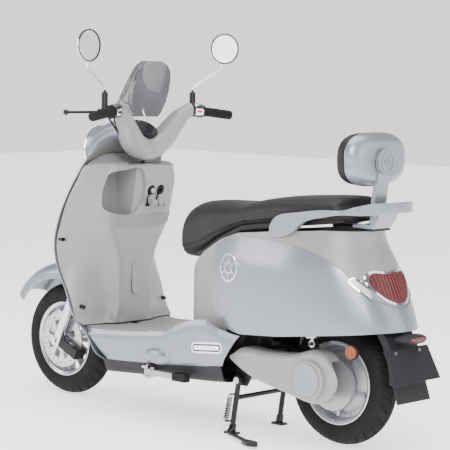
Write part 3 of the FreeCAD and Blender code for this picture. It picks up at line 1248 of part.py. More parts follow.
def front_fender():
    """Fender carried by the lower triple clamp, wide enough for the wheel at full travel."""
    c = V(FRONT_AXLE_X, 0, WHEEL_R + 0.0)
    section = [(286, 0), (284, 30), (276, 56), (262, 72), (244, 78), (226, 79), (226, 76), (243, 75), (260, 69),
               (273, 54), (281, 29), (283, 0)]
    right = [(r, -y) for r, y in section[:6]]
    left = section[:6]
    under = section[6:]
    under_r = [(r, -y) for r, y in under]
    loop = right[::-1] + left[1:] + under + under_r[::-1][1:]
    face = Part.Face(Part.makePolygon([c + V(r, y, 0) for r, y in loop + loop[:1]]))
    arc = face.revolve(c, Y_AXIS, 101)
    arc.rotate(c, Y_AXIS, -135)
    legs_way = [cyl(fork(FORK_OFFSET, s * LEG_Y, 0), fork(FORK_OFFSET, s * LEG_Y, 420), LOWER_R + 4.5) for s in (1, -1)]
    shell = arc.cut(legs_way)
    keep("front_fender", shell)
    for s in (1, -1):
        strut = tube([fork(8, s * 22, 359), fork(14, s * 26, 330), fork(20, s * 26, 290)], 5.0, 12)
        keep("fender_struts", strut.cut(arc))


# ---------------------------------------------------------------- nodes
# node: the pieces above that it holds
NODES = {
    "main_frame": ["main_frame", "floor_rail_left", "floor_rail_right", "frame_crossmembers"],
    "rear_frame": ["rear_rail_left", "rear_rail_right", "pivot_plates", "shock_mounts"],
    "frame_fittings": ["swingarm_pivot_bolt", "stand_pivot_shaft", "headset_bearings", "footpeg_brackets",
                       "seat_hinge_pin", "seat_hinge_lugs"],
    "front_apron": ["front_apron"],
    "inner_leg_shield": ["inner_leg_shield", "glove_pocket", "service_cover"],
    "lock_cluster": ["lock_pod", "key_lock_bezel", "charging_port", "tongue_pins", "shield_screws",
                     "rail_rubber_pad"],
    "under_trays": ["wheel_well", "belly_pan"],
    "floorboard": ["floorboard"],
    "side_skirts": ["side_skirt_left", "side_skirt_right"],
    "chrome_trim": ["skirt_trims", "trim_backing", "marker_bezels", "side_emblems", "tail_light_bezel"],
    "rear_cowl": ["rear_cowl"],
    "side_panel_left": ["side_panel_left"],
    "side_panel_right": ["side_panel_right"],
    "lamp_lenses": ["tail_light_lens", "marker_lenses", "tail_reflector", "side_reflectors"],
    "storage_bucket": ["storage_bucket"],
    "battery_pack": ["battery_pack"],
    "motor_controller": ["motor_controller"],
    "grab_rail": ["grab_rail"],
    "backrest_frame": ["backrest_bracket", "backrest_shell", "backrest_badge", "backrest_bolts"],
    "backrest_cushion": ["backrest_cushion"],
    "rear_fender": ["rear_fender", "mudflap", "plate_bracket", "tail_reflector_housing", "side_reflector_cups"],
    "number_plate": ["number_plate", "plate_bolts"],
    "seat_cushion": ["seat_cushion"],
    "seat_pan": ["seat_pan"],
    "steering_stem": ["steering_stem", "fork_stanchions", "fender_struts"],
    "front_fender": ["front_fender"],
    "handlebar": ["handlebar", "handlebar_clamp", "headlight_bracket", "windshield_brackets"],
    "handlebar_cover": ["handlebar_cover"],
    "switchgear": ["left_switch_housing", "right_switch_housing", "left_brake_perch", "right_brake_perch",
                   "switch_plates", "left_mirror_stem", "right_mirror_stem"],
    "left_grip": ["left_grip"],
    "control_cables": ["control_cables"],
    "headlight_shell": ["headlight_shell"],
    "headlight_lens": ["headlight_rim", "headlight_lens", "headlight_reflector"],
    "instrument_display": ["instrument_body", "instrument_glass"],
    "windshield": ["windshield"],
    "throttle_grip": ["throttle_grip"],
    "left_brake_lever": ["left_brake_lever"],
    "right_brake_lever": ["right_brake_lever"],
    "turn_signal_switch": ["turn_signal_switch"],
    "horn_button": ["horn_button"],
    "headlight_switch": ["headlight_switch"],
    "start_button": ["start_button"],
    "left_mirror": ["left_mirror_shell", "left_mirror_glass"],
    "right_mirror": ["right_mirror_shell", "right_mirror_glass"],
    "key_barrel": ["key_barrel"],
    "bag_hook": ["bag_hook"],
    "port_flap": ["port_flap"],
    "fork_lowers": ["fork_lower_left", "fork_lower_right", "front_axle", "brake_caliper"],
    "front_tyre": ["front_tyre"],
    "front_rim": ["front_rim", "front_wheel_bearings", "front_brake_disc"],
    "swingarm": ["swingarm", "rear_axle", "motor_housing", "axle_spacers"],
    "drive_cover": ["drive_cover", "drive_cap"],
    "rear_tyre": ["rear_tyre"],
    "rear_rim": ["rear_rim", "rear_wheel_bearings", "rear_wheel_bolts"],
    "shock_bodies": ["left_shock_body", "right_shock_body"],
    "shock_rods": ["left_shock_rod", "right_shock_rod"],
    "shock_springs": ["left_shock_spring", "right_shock_spring"],
    "center_stand": ["center_stand", "stand_spring"],
    "left_footpeg": ["left_footpeg", "left_peg_rubber"],
    "right_footpeg": ["right_footpeg", "right_peg_rubber"],
}


if __name__ in ("__main__", "part"):
    build()
    os.makedirs("parts", exist_ok=True)
    for node, pieces in NODES.items():
        solids = [solid for piece in pieces for solid in PARTS[piece]]
        shape = solids[0] if len(solids) == 1 else Part.makeCompound(solids)
        shape.exportStep(os.path.join("parts", node + ".step"))
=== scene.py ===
"""Moped scooter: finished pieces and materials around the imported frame."""
import bpy, bmesh, math
from mathutils import Vector, Matrix
from mathutils.bvhtree import BVHTree


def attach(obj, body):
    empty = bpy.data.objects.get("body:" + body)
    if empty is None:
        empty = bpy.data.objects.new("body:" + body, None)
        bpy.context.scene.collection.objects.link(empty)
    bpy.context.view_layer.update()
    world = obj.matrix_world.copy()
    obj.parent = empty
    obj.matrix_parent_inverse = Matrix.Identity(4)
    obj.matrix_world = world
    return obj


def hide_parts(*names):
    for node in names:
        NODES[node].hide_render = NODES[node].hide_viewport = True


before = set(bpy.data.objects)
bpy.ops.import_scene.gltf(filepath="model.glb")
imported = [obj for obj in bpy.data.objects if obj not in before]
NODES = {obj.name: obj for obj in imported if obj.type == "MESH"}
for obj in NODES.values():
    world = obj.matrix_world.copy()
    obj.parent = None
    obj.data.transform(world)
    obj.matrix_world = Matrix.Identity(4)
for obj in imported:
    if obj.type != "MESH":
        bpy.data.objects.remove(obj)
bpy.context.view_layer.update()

# places in millimetres: x forward, y to the rider's left, z up
BAR_IN = Vector((274, 177, 1065))
BAR_OUT = Vector((227, 342, 1045))
BAR_DIR = (BAR_OUT - BAR_IN).normalized()
FRONT_AXLE = (685, 205)
REAR_AXLE = (-615, 213)
COVER_CAP = (-612, 237)
LAMP_HEIGHT = 915
MIRROR_X = 252
MIRROR_Y = 337
MIRROR_Z = 1285
LEFT_MIRROR_YAW = -4
RIGHT_MIRROR_YAW = 24
SHIELD_TOP = 865.5
STEM_X = 338
STEM_HOLE_R = 37


# ------------------------------------------------------------------ materials
class Mat:
    """A node material with object-space noise helpers."""

    def __init__(self, name, color, rough=0.5, metal=0.0, **sockets):
        self.mat = bpy.data.materials.new(name)
        self.mat.use_nodes = True
        self.tree = self.mat.node_tree
        self.bsdf = self.tree.nodes["Principled BSDF"]
        self.bsdf.inputs["Base Color"].default_value = (*color, 1)
        self.bsdf.inputs["Roughness"].default_value = rough
        self.bsdf.inputs["Metallic"].default_value = metal
        for key, value in sockets.items():
            self.bsdf.inputs[key.replace("_", " ")].default_value = value
        self.coord = self.tree.nodes.new("ShaderNodeTexCoord")
        self.color = color
        self.normal = None

    def node(self, kind, **values):
        n = self.tree.nodes.new(kind)
        for key, value in values.items():
            n.inputs[key].default_value = value
        return n

    def link(self, a, b):
        self.tree.links.new(a, b)

    def noise(self, scale, detail=4.0, rough=0.55):
        n = self.node("ShaderNodeTexNoise", Scale=scale, Detail=detail, Roughness=rough)
        self.link(self.coord.outputs["Object"], n.inputs["Vector"])
        return n.outputs["Fac"]

    def cells(self, scale, feature="F1"):
        n = self.node("ShaderNodeTexVoronoi", Scale=scale)
        n.feature = feature
        self.link(self.coord.outputs["Object"], n.inputs["Vector"])
        return n.outputs["Distance"]

    def ramp(self, source, low, high):
        n = self.tree.nodes.new("ShaderNodeMapRange")
        n.inputs["To Min"].default_value = low
        n.inputs["To Max"].default_value = high
        n.inputs["From Min"].default_value = 0.3
        n.inputs["From Max"].default_value = 0.7
        self.link(source, n.inputs["Value"])
        return n.outputs["Result"]

    def vary_rough(self, scale, low, high):
        self.link(self.ramp(self.noise(scale), low, high), self.bsdf.inputs["Roughness"])
        return self

    def vary_color(self, scale, amount):
        other = tuple(c * (1 - amount) for c in self.color)
        n = self.tree.nodes.new("ShaderNodeMix")
        n.data_type = "RGBA"
        n.inputs["A"].default_value = (*self.color, 1)
        n.inputs["B"].default_value = (*other, 1)
        self.link(self.ramp(self.noise(scale, 6.0), 0.0, 1.0), n.inputs["Factor"])
        self.link(n.outputs["Result"], self.bsdf.inputs["Base Color"])
        return self

    def bump(self, height, distance, strength=1.0):
        n = self.node("ShaderNodeBump", Strength=strength, Distance=distance)
        self.link(height, n.inputs["Height"])
        if self.normal:
            self.link(self.normal, n.inputs["Normal"])
        self.normal = n.outputs["Normal"]
        self.link(self.normal, self.bsdf.inputs["Normal"])
        return self


def moulded(name, color, rough, grain=900.0, depth=0.00006, **sockets):
    """Textured injection-moulded plastic."""
    m = Mat(name, color, rough, **sockets)
    m.vary_rough(14.0, rough - 0.05, rough + 0.06).vary_color(5.0, 0.05)
    return m.bump(m.noise(grain, 3.0), depth).mat


def pearl(name, color, rough=0.26):
    """Silver-blue paint: fine flake under a clear coat."""
    m = Mat(name, color, rough, 0.45, Coat_Weight=0.5, Coat_Roughness=0.12)
    m.vary_rough(7.0, rough - 0.04, rough + 0.05).vary_color(3.0, 0.05)
    return m.bump(m.noise(2600.0, 2.0), 0.000012).bump(m.noise(6.0, 2.0), 0.0006, 0.12).mat


def metal(name, color, rough, scale=300.0, depth=0.00002, metallic=1.0, **sockets):
    """Bare, plated or coated metal with a fine surface grain."""
    m = Mat(name, color, rough, metallic, **sockets)
    m.vary_rough(40.0, max(rough - 0.05, 0.02), rough + 0.08).vary_color(30.0, 0.10)
    return m.bump(m.noise(scale, 3.0), depth).mat


def leather(name, color):
    """Grained seat leather: small cells over soft creases."""
    m = Mat(name, color, 0.55, Specular_IOR_Level=0.28, Sheen_Weight=0.02, Sheen_Roughness=0.5)
    m.vary_rough(20.0, 0.46, 0.62).vary_color(9.0, 0.25)
    m.bump(m.cells(520.0, "DISTANCE_TO_EDGE"), 0.0002, 0.8)
    return m.bump(m.noise(60.0, 5.0), 0.0004, 0.5).mat


def rubber(name, color, rough=0.72):
    """Dull rubber with a fine grain."""
    m = Mat(name, color, rough, Specular_IOR_Level=0.22)
    m.vary_rough(25.0, rough - 0.1, rough + 0.08).vary_color(12.0, 0.3)
    return m.bump(m.noise(700.0, 4.0), 0.0001).mat


def lens(name, color, clear=0.75, rough=0.08, metallic=0.0):
    """Glossy lens plastic or glass; clear is how much light passes through it."""
    m = Mat(name, color, rough, metallic, Transmission_Weight=clear, IOR=1.49, Coat_Weight=0.25)
    m.vary_rough(30.0, rough * 0.7, rough * 1.4).vary_color(40.0, 0.15)
    return m.bump(m.noise(35.0, 2.0), 0.0002, 0.2).mat


SILVER = pearl("silver_paint", (0.235, 0.253, 0.288), 0.30)
GREY = moulded("grey_plastic", (0.245, 0.243, 0.238), 0.40, 1100.0, 0.00003,
               Coat_Weight=0.25, Coat_Roughness=0.25)
MAT_GREY = moulded("floor_plastic", (0.24, 0.238, 0.233), 0.5, 600.0, 0.0001)
CHARCOAL = moulded("charcoal_plastic", (0.013, 0.0135, 0.016), 0.5, Specular_IOR_Level=0.25)
BLACK = moulded("black_plastic", (0.008, 0.008, 0.009), 0.45, Specular_IOR_Level=0.3)
BLACK_METAL = metal("black_coated_steel", (0.009, 0.009, 0.010), 0.45, 500.0, 0.00005,
                    metallic=0.0, Specular_IOR_Level=0.3)
CHROME = metal("chrome", (0.86, 0.87, 0.89), 0.06)
STEEL = metal("brushed_steel", (0.55, 0.55, 0.57), 0.3, 900.0, 0.00004)
ALLOY = metal("cast_alloy", (0.40, 0.41, 0.43), 0.42, 420.0, 0.00006, metallic=0.55)
POLISHED = metal("machined_alloy", (0.60, 0.61, 0.64), 0.28, 500.0, 0.00002, metallic=0.8)
RUBBER = rubber("rubber", (0.009, 0.009, 0.010))
TYRE = rubber("tyre_rubber", (0.008, 0.008, 0.009), 0.78)
LEATHER = leather("seat_leather", (0.010, 0.010, 0.012))
RED = lens("red_lens", (0.085, 0.0003, 0.0016), 0.0, 0.34)
ORANGE = lens("orange_reflector", (0.26, 0.055, 0.004), 0.0, 0.4)
CLEAR = lens("clear_lens", (0.88, 0.9, 0.93), 0.35, 0.1)
SMOKE = lens("smoked_screen", (0.20, 0.20, 0.22), 0.8, 0.04)
GLASS = lens("mirror_glass", (0.9, 0.92, 0.95), 0.0, 0.02, metallic=1.0)
DISPLAY = moulded("display_glass", (0.012, 0.012, 0.014), 0.12, 40.0, 0.00002, Coat_Weight=1.0)
RED_BUTTON = moulded("red_button", (0.6, 0.02, 0.02), 0.35)
WHITE_METAL = metal("fork_silver", (0.72, 0.74, 0.77), 0.24)

BASE = {
    "main_frame": BLACK_METAL, "rear_frame": BLACK_METAL, "frame_fittings": STEEL, "front_apron": SILVER,
    "inner_leg_shield": GREY, "lock_cluster": BLACK, "under_trays": CHARCOAL, "floorboard": MAT_GREY,
    "side_skirts": SILVER, "chrome_trim": CHROME, "rear_cowl": GREY, "side_panel_left": SILVER,
    "side_panel_right": SILVER, "lamp_lenses": RED, "storage_bucket": BLACK, "battery_pack": BLACK,
    "motor_controller": ALLOY, "grab_rail": SILVER, "backrest_frame": SILVER, "rear_fender": CHARCOAL,
    "number_plate": CHARCOAL, "seat_pan": BLACK, "steering_stem": STEEL, "front_fender": SILVER,
    "handlebar": BLACK_METAL, "handlebar_cover": GREY, "switchgear": BLACK, "control_cables": RUBBER,
    "headlight_shell": SILVER, "headlight_lens": CLEAR, "instrument_display": DISPLAY, "windshield": SMOKE,
    "left_brake_lever": BLACK_METAL, "right_brake_lever": BLACK_METAL, "turn_signal_switch": BLACK,
    "horn_button": BLACK, "headlight_switch": BLACK, "start_button": RED_BUTTON, "left_mirror": CHROME,
    "right_mirror": CHROME, "key_barrel": STEEL, "bag_hook": GREY, "port_flap": GREY,
    "fork_lowers": WHITE_METAL, "front_rim": POLISHED, "swingarm": BLACK_METAL, "drive_cover": GREY,
    "rear_rim": ALLOY,
    "shock_bodies": STEEL, "shock_rods": STEEL, "shock_springs": BLACK_METAL, "center_stand": BLACK_METAL,
    "left_footpeg": ALLOY, "right_footpeg": ALLOY,
}


def paint(node, rules=()):
    """The node's base material, and others where a rule holds at a face's middle, in millimetres."""
    obj = NODES[node]
    obj.data.materials.clear()
    obj.data.materials.append(BASE[node])
    for material, _ in rules:
        obj.data.materials.append(material)
    for poly in obj.data.polygons:
        c = poly.center * 1000
        poly.material_index = 0
        for i, (_, rule) in enumerate(rules):
            if rule(c.x, c.y, c.z):
                poly.material_index = i + 1
                break


def from_centre(x, z, centre):
    """Distance in a side or front view from a centre."""
    return math.hypot(x - centre[0], z - centre[1])


def front_r(x, y, z):
    return from_centre(x, z, FRONT_AXLE)


def rear_r(x, y, z):
    return from_centre(x, z, REAR_AXLE)


def lamp_r(x, y, z):
    return from_centre(y, z, (0, LAMP_HEIGHT))


def mirror_r(x, y, z):
    return from_centre(abs(y), z, (MIRROR_Y, MIRROR_Z))


def right_mirror_depth(x, y, z):
    """How far in front of the right mirror's middle plane a point lies, towards the rider."""
    yaw = math.radians(RIGHT_MIRROR_YAW)
    return (x - MIRROR_X) * -math.cos(yaw) + (y + MIRROR_Y) * math.sin(yaw)


def bar_gap(x, y, z):
    """Distance from the handlebar's axis over its switch housings, and zero elsewhere."""
    p = Vector((x, abs(y), z)) - BAR_IN
    along = p.dot(BAR_DIR)
    return (p - BAR_DIR * along).length if 13.5 < along < 48.5 else 0.0


def behind_bar(x, y, z):
    """True on the rider's side of the switch housings."""
    p = Vector((x, abs(y), z)) - BAR_IN
    return bar_gap(x, y, z) < 26.6 and p.dot(Vector((-BAR_DIR.y, BAR_DIR.x, 0)).normalized()) > 3


RULES = {
    "lamp_lenses": [
        (ORANGE, lambda x, y, z: abs(y) > 112 and z < 370),
        (CLEAR, lambda x, y, z: abs(y) > 100 and z > 440),
    ],
    "headlight_lens": [
        (CHROME, lambda x, y, z: lamp_r(x, y, z) > 73.5 and x > 537.8),
        (CHROME, lambda x, y, z: lamp_r(x, y, z) > 77.7 or x < 533.5),
    ],
    "chrome_trim": [(BLACK, lambda x, y, z: 195.9 < abs(y) < 198.9 and z < 330 and x < -100)],
    "front_rim": [
        (STEEL, lambda x, y, z: y > 41.5),
        (ALLOY, lambda x, y, z: front_r(x, y, z) < 116),
    ],
    "rear_rim": [
        (POLISHED, lambda x, y, z: rear_r(x, y, z) > 122),
        (STEEL, lambda x, y, z: rear_r(x, y, z) < 22),
    ],
    "swingarm": [(ALLOY, lambda x, y, z: 49 < y < 66.5 and 20 < rear_r(x, y, z) < 90)],
    "fork_lowers": [
        (BLACK, lambda x, y, z: 29 < y < 68.2 and x < 650),
        (BLACK, lambda x, y, z: 29 < y < 82 and x < 655 and z < 232),
    ],
    "steering_stem": [(CHROME, lambda x, y, z: abs(y) > 55 and z < 560)],
    "switchgear": [
        (CHROME, lambda x, y, z: z > 1126.3),
        (CHROME, lambda x, y, z: bar_gap(x, y, z) > 24.3 and behind_bar(x, y, z)),
    ],
    "handlebar": [(CHROME, lambda x, y, z: x > 330 and z > 968 and abs(y) < 70)],
    "left_mirror": [(GLASS, lambda x, y, z: mirror_r(x, y, z) < 52.4 and x < 252.4)],
    "right_mirror": [(GLASS, lambda x, y, z: mirror_r(x, y, z) < 49 and right_mirror_depth(x, y, z) > -4.5)],
    "left_footpeg": [(RUBBER, lambda x, y, z: x < -40)],
    "right_footpeg": [(RUBBER, lambda x, y, z: x < -40)],
    "number_plate": [(STEEL, lambda x, y, z: abs(abs(y) - 62) < 6.5 and x < -861)],
    "drive_cover": [(SILVER, lambda x, y, z: y > 190 and from_centre(x, z, COVER_CAP) < 52.7)],
    "instrument_display": [(BLACK, lambda x, y, z: z < 990)],
}
for name in BASE:
    paint(name, RULES.get(name, ()))


def paint_back(node, material):
    """The node's rearward faces get another material."""
    mesh = NODES[node].data
    mesh.materials.append(material)
    for poly in mesh.polygons:
        if poly.normal.x < -0.25 and poly.center.z > 0.80:
            poly.material_index = len(mesh.materials) - 1


paint_back("front_apron", GREY)


def refine(node, width=0.0006):
    """Rounds the node's edges a little, as on a moulded or machined piece."""
    obj = NODES[node]
    weld = obj.modifiers.new("weld", "WELD")
    weld.merge_threshold = 0.00002
    bevel = obj.modifiers.new("edge", "BEVEL")
    bevel.width = width
    bevel.segments = 2
    bevel.limit_method = "ANGLE"
    bevel.angle_limit = math.radians(38)
    bevel.harden_normals = False


# ------------------------------------------------------------------ piece helpers
def piece(name, verts, faces, material, body, sharp=40):
    """A new smooth-shaded object from points in millimetres, riding a body."""
    mesh = bpy.data.meshes.new(name)
    mesh.from_pydata([Vector(v) / 1000 for v in verts], [], faces)
    mesh.materials.append(material)
    obj = bpy.data.objects.new(name, mesh)
    bpy.context.collection.objects.link(obj)
    for poly in mesh.polygons:
        poly.use_smooth = True
    mesh.set_sharp_from_angle(angle=math.radians(sharp))
    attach(obj, body)
    return obj


def grid(rows, close_u=True, close_v=False, cap=False):
    """Verts and quads of rows of points; u runs along a row."""
    n, m = len(rows), len(rows[0])
    verts = [p for row in rows for p in row]
    faces = []
    for i in range(n if close_v else n - 1):
        for j in range(m if close_u else m - 1):
            a, b = i * m + j, i * m + (j + 1) % m
            c, d = ((i + 1) % n) * m + (j + 1) % m, ((i + 1) % n) * m + j
            faces.append((a, b, c, d))
    if cap:
        faces.append(tuple(range(m))[::-1])
        faces.append(tuple((n - 1) * m + j for j in range(m)))
    return verts, faces


def fix_normals(obj):
    """Turns all faces outward."""
    bm = bmesh.new()
    bm.from_mesh(obj.data)
    bmesh.ops.recalc_face_normals(bm, faces=bm.faces)
    bm.to_mesh(obj.data)
    bm.free()


def lerp_table(rows, x):
    """Smooth interpolation of rows of numbers sorted by their first value."""
    if x <= rows[0][0]:
        return rows[0][1:]
    for i in range(len(rows) - 1):
        a, b = rows[i], rows[i + 1]
        if x <= b[0]:
            t = (x - a[0]) / (b[0] - a[0])
            p, q = rows[max(i - 1, 0)], rows[min(i + 2, len(rows) - 1)]
            out = []
            for k in range(1, len(a)):
                m0 = (b[k] - p[k]) / max(b[0] - p[0], 1e-6) * (b[0] - a[0])
                m1 = (q[k] - a[k]) / max(q[0] - a[0], 1e-6) * (b[0] - a[0])
                t2, t3 = t * t, t * t * t
                out.append((2 * t3 - 3 * t2 + 1) * a[k] + (t3 - 2 * t2 + t) * m0
                           + (3 * t2 - 2 * t3) * b[k] + (t3 - t2) * m1)
            return tuple(out)
    return rows[-1][1:]


def sweep(points, r, sides=10):
    """A round tube along points."""
    pts = [Vector(p) for p in points]
    rows = []
    up = Vector((0, 0, 1))
    for i, p in enumerate(pts):
        d = (pts[min(i + 1, len(pts) - 1)] - pts[max(i - 1, 0)]).normalized()
        u = d.cross(up)
        u = u.normalized() if u.length > 1e-4 else Vector((0, 1, 0))
        w = u.cross(d)
        rows.append([p + (u * math.cos(a) + w * math.sin(a)) * r for a in
                     (2 * math.pi * k / sides for k in range(sides))])
    return grid(rows, cap=True)


# ------------------------------------------------------------------ tyres
def tyre(name, node, centre, body):
    """Tyre round the wheel's axle: side rings, one tread groove each side and slanted cross grooves."""
    cx, cz = centre
    section = [(129.5, -33), (139, -39), (150, -44), (160, -45.6), (166, -46), (173, -45.4), (180, -43),
               (186, -39), (191, -34.2), (195.5, -28), (199, -22), (202, -15), (204.2, -7.5), (205, 0)]
    section = section + [(r, -y) for r, y in section[-2::-1]]
    # the same section in even short steps
    fine = []
    for (r0, y0), (r1, y1) in zip(section, section[1:]):
        steps = max(1, int(math.hypot(r1 - r0, y1 - y0) / 1.7))
        fine += [(r0 + (r1 - r0) * k / steps, y0 + (y1 - y0) * k / steps) for k in range(steps)]
    fine.append(section[-1])
    inner = [(128.6, 26), (150, 36), (180, 32), (196, 0), (180, -32), (150, -36), (128.6, -26)]
    steps_round, tread_r, cross_cuts, slant = 480, 184, 30, 0.022
    groove_depth, cut_depth, ring_height = 3.0, 3.2, 0.6
    rows = []
    for i in range(steps_round):
        a = 2 * math.pi * i / steps_round
        row = []
        for r, y in fine:
            depth = 0.0
            ay = abs(y)
            if r > tread_r:
                if 5.0 < ay < 8.0:
                    depth = groove_depth
                stagger = 0.0 if y > 0 else 0.5
                phase = (a * cross_cuts / (2 * math.pi) + (ay * slant + stagger)) % 1.0
                if 11.0 < ay < 37.0 and phase < 0.17:
                    depth = cut_depth
            elif 150 < r < 153 or 176 < r < 177.5:
                depth = -ring_height
            reach = r - depth
            row.append((cx + reach * math.cos(a), y, cz + reach * math.sin(a)))
        for r, y in inner:
            row.append((cx + r * math.cos(a), y, cz + r * math.sin(a)))
        rows.append(row)
    verts, faces = grid(rows, close_u=True, close_v=True)
    obj = piece(name, verts, faces, TYRE, body, sharp=28)
    fix_normals(obj)
    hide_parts(node)


tyre("front_tyre_treaded", "front_tyre", FRONT_AXLE, "front_wheel")
tyre("rear_tyre_treaded", "rear_tyre", REAR_AXLE, "rear_wheel")

# ------------------------------------------------------------------ seat
GROOVE_AT = -0.42  # sine of the groove's place round the section
NOSE_END = -56  # where the front of the cover starts to round off
TAIL_END = 682  # where its rear does
# distance behind the middle of the scooter, underside, top and half width of the cushion
SEAT = [
    (-63, 582, 610, 46), (-52, 570, 672, 76), (-30, 567.5, 728, 98), (13, 570, 758, 114),
    (71, 590, 769, 124), (150, 636, 772, 132), (252, 683, 776, 138), (320, 694, 791, 141),
    (419, 706, 806, 143), (520, 718, 814, 143), (613, 729, 819, 138), (662, 736, 815, 126),
    (690, 746, 796, 98),
]


def power(v, k):
    """A signed power, for squared-off ovals."""
    return math.copysign(abs(v) ** k, v)


def seat_cover():
    """The sewn cover: crowned sections with a side groove, a cross seam and two bands on the rear part."""
    rows = []
    stations = [-63, -61, -58] + [-55 + i * (690 + 55 - 8) / 90 for i in range(91)] + [685, 688, 690]
    sides = 96
    for t in stations:
        zb, zt, w = lerp_table(SEAT, t)
        if t < NOSE_END:
            k = math.sqrt(max(0.0, 1 - ((NOSE_END - t) / 7.2) ** 2)) * 0.9 + 0.1
            zm = (zb + zt) / 2
            zb, zt, w = zm + (zb - zm) * k, zm + (zt - zm) * k, w * k
        if t > TAIL_END:
            k = math.sqrt(max(0.0, 1 - ((t - TAIL_END) / 8.4) ** 2)) * 0.6 + 0.4
            zm = (zb + zt) / 2
            zb, zt, w = zm + (zb - zm) * k, zm + (zt - zm) * k, w * k
        mid, h = (zb + zt) / 2, (zt - zb) / 2
        row = []
        for i in range(sides):
            a = 2 * math.pi * i / sides
            c, s = math.cos(a), math.sin(a)
            y = w * power(c, 0.76)
            z = mid + h * power(s, 0.80)
            # the side groove, the cross seam that bows over the step, and the bands on the rear part
            groove = math.exp(-((s - GROOVE_AT) / 0.035) ** 2) * 4.0
            seam_x = 300 + 70 * (1 - abs(c)) - 40 * max(0.0, -s)
            cross = math.exp(-((t - seam_x) / 4.0) ** 2) * 4.4 if s > GROOVE_AT else 0.0
            band = math.exp(-((abs(y) - w * 0.80) / 2.6) ** 2) * 1.8 if (s > 0.2 and t > 330) else 0.0
            dent = groove + cross + band
            k = 1 - dent / max(math.hypot(y, z - mid), 20)
            row.append((-t, y * k, mid + (z - mid) * k))
        rows.append(row)
    verts, faces = grid(rows, cap=True)
    obj = piece("seat_cover", verts, faces, LEATHER, "seat", sharp=60)
    fix_normals(obj)
    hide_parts("seat_cushion")
    return obj


def seat_welts():
    """A thin welt in the groove along each side of the cover."""
    for side in (1, -1):
        line = []
        for t in [-40 + i * 12 for i in range(60)]:
            zb, zt, w = lerp_table(SEAT, t)
            mid, h = (zb + zt) / 2, (zt - zb) / 2
            c = math.sqrt(1 - GROOVE_AT * GROOVE_AT)
            line.append((-t, side * (w * power(c, 0.76) - 1.6), mid + h * power(GROOVE_AT, 0.80)))
        verts, faces = sweep(line, 1.7, 8)
        name = "seat_welt_left" if side > 0 else "seat_welt_right"
        obj = piece(name, verts, faces, LEATHER, "seat")


seat_cover()
seat_welts()


def backrest_pad():
    """Crowned oval pad with a seam round its side."""
    rows = []
    half_width, half_height, middle_z = 143, 85, 940
    shape = [(-707.6, 0.955), (-704, 0.985), (-698, 1.0), (-688, 0.998), (-680, 0.985), (-672, 0.95),
             (-665, 0.89), (-660, 0.80), (-656, 0.68), (-653.4, 0.52), (-652.2, 0.34), (-651.8, 0.14)]
    for x, k in shape:
        row = []
        for i in range(96):
            a = 2 * math.pi * i / 96
            c, s = math.cos(a), math.sin(a)
            seam = 1 - 0.018 * math.exp(-((x + 690) / 1.6) ** 2)
            row.append((x, half_width * k * seam * power(c, 0.70),
                        middle_z + half_height * k * seam * power(s, 0.70)))
        rows.append(row)
    verts, faces = grid(rows, cap=True)
    obj = piece("backrest_pad", verts, faces, LEATHER, "root", sharp=60)
    fix_normals(obj)
    sub = obj.modifiers.new("smooth", "SUBSURF")
    sub.levels = sub.render_levels = 1
    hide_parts("backrest_cushion")


backrest_pad()

# ------------------------------------------------------------------ grips


def grip(name, node, side, body):
    """Ribbed rubber grip with a flange at its inner end and a rounded outer end."""
    profile = [(56, 11.3), (56, 19.6), (57, 20.4), (61.5, 20.4), (62.5, 19.4), (63.5, 15.6), (66, 15.2)]
    s = 66.0
    while s < 160:
        profile += [(s + 0.6, 16.4), (s + 3.6, 16.4), (s + 4.2, 15.3), (s + 5.2, 15.3)]
        s += 5.2
    profile += [(164, 16.4), (172, 16.5), (175.5, 15.6), (177.4, 13.6), (178, 10.5), (178, 4.0), (176.6, 3.0),
                (176.6, 0.4)]
    u = BAR_DIR.cross(Vector((0, 0, 1))).normalized()
    w = u.cross(BAR_DIR)
    sides = 72
    rows = []
    for along, r in profile:
        row = []
        for i in range(sides):
            a = 2 * math.pi * i / sides
            flat = 0.35 if (15.9 < r < 16.45 and 66 < along < 160 and i % 6 == 0) else 0.0
            p = BAR_IN + BAR_DIR * along + (u * math.cos(a) + w * math.sin(a)) * (r - flat)
            row.append((p.x, p.y * side, p.z))
        rows.append(row)
    verts, faces = grid(rows)
    faces.append(tuple((len(rows) - 1) * sides + j for j in range(sides)))
    obj = piece(name, verts, faces, RUBBER, body, sharp=35)
    fix_normals(obj)
    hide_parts(node)


grip("left_rubber_grip", "left_grip", 1, "steering")
grip("throttle_rubber_grip", "throttle_grip", -1, "throttle")


# ------------------------------------------------------------------ ribs on the leg shield and tail lens
def tree_of(node):
    """The node's faces in millimetres, for finding points on its surface."""
    mesh = NODES[node].data
    return BVHTree.FromPolygons([v.co * 1000 for v in mesh.vertices], [p.vertices[:] for p in mesh.polygons])


def rib(verts, faces, column, foot, crest, lift, end_lift):
    """One rib standing off a column of surface points, with its foot sunk in and its ends tapered down."""
    start = len(verts)
    sink, half_foot = foot
    for k, p in enumerate(column):
        out = lift if 0 < k < len(column) - 1 else end_lift
        verts += [(p.x + sink, p.y - half_foot, p.z), (p.x - out, p.y - crest, p.z),
                  (p.x - out, p.y + crest, p.z), (p.x + sink, p.y + half_foot, p.z)]
    for k in range(len(column) - 1):
        for j in range(3):
            a = start + k * 4 + j
            faces.append((a, a + 1, a + 5, a + 4))


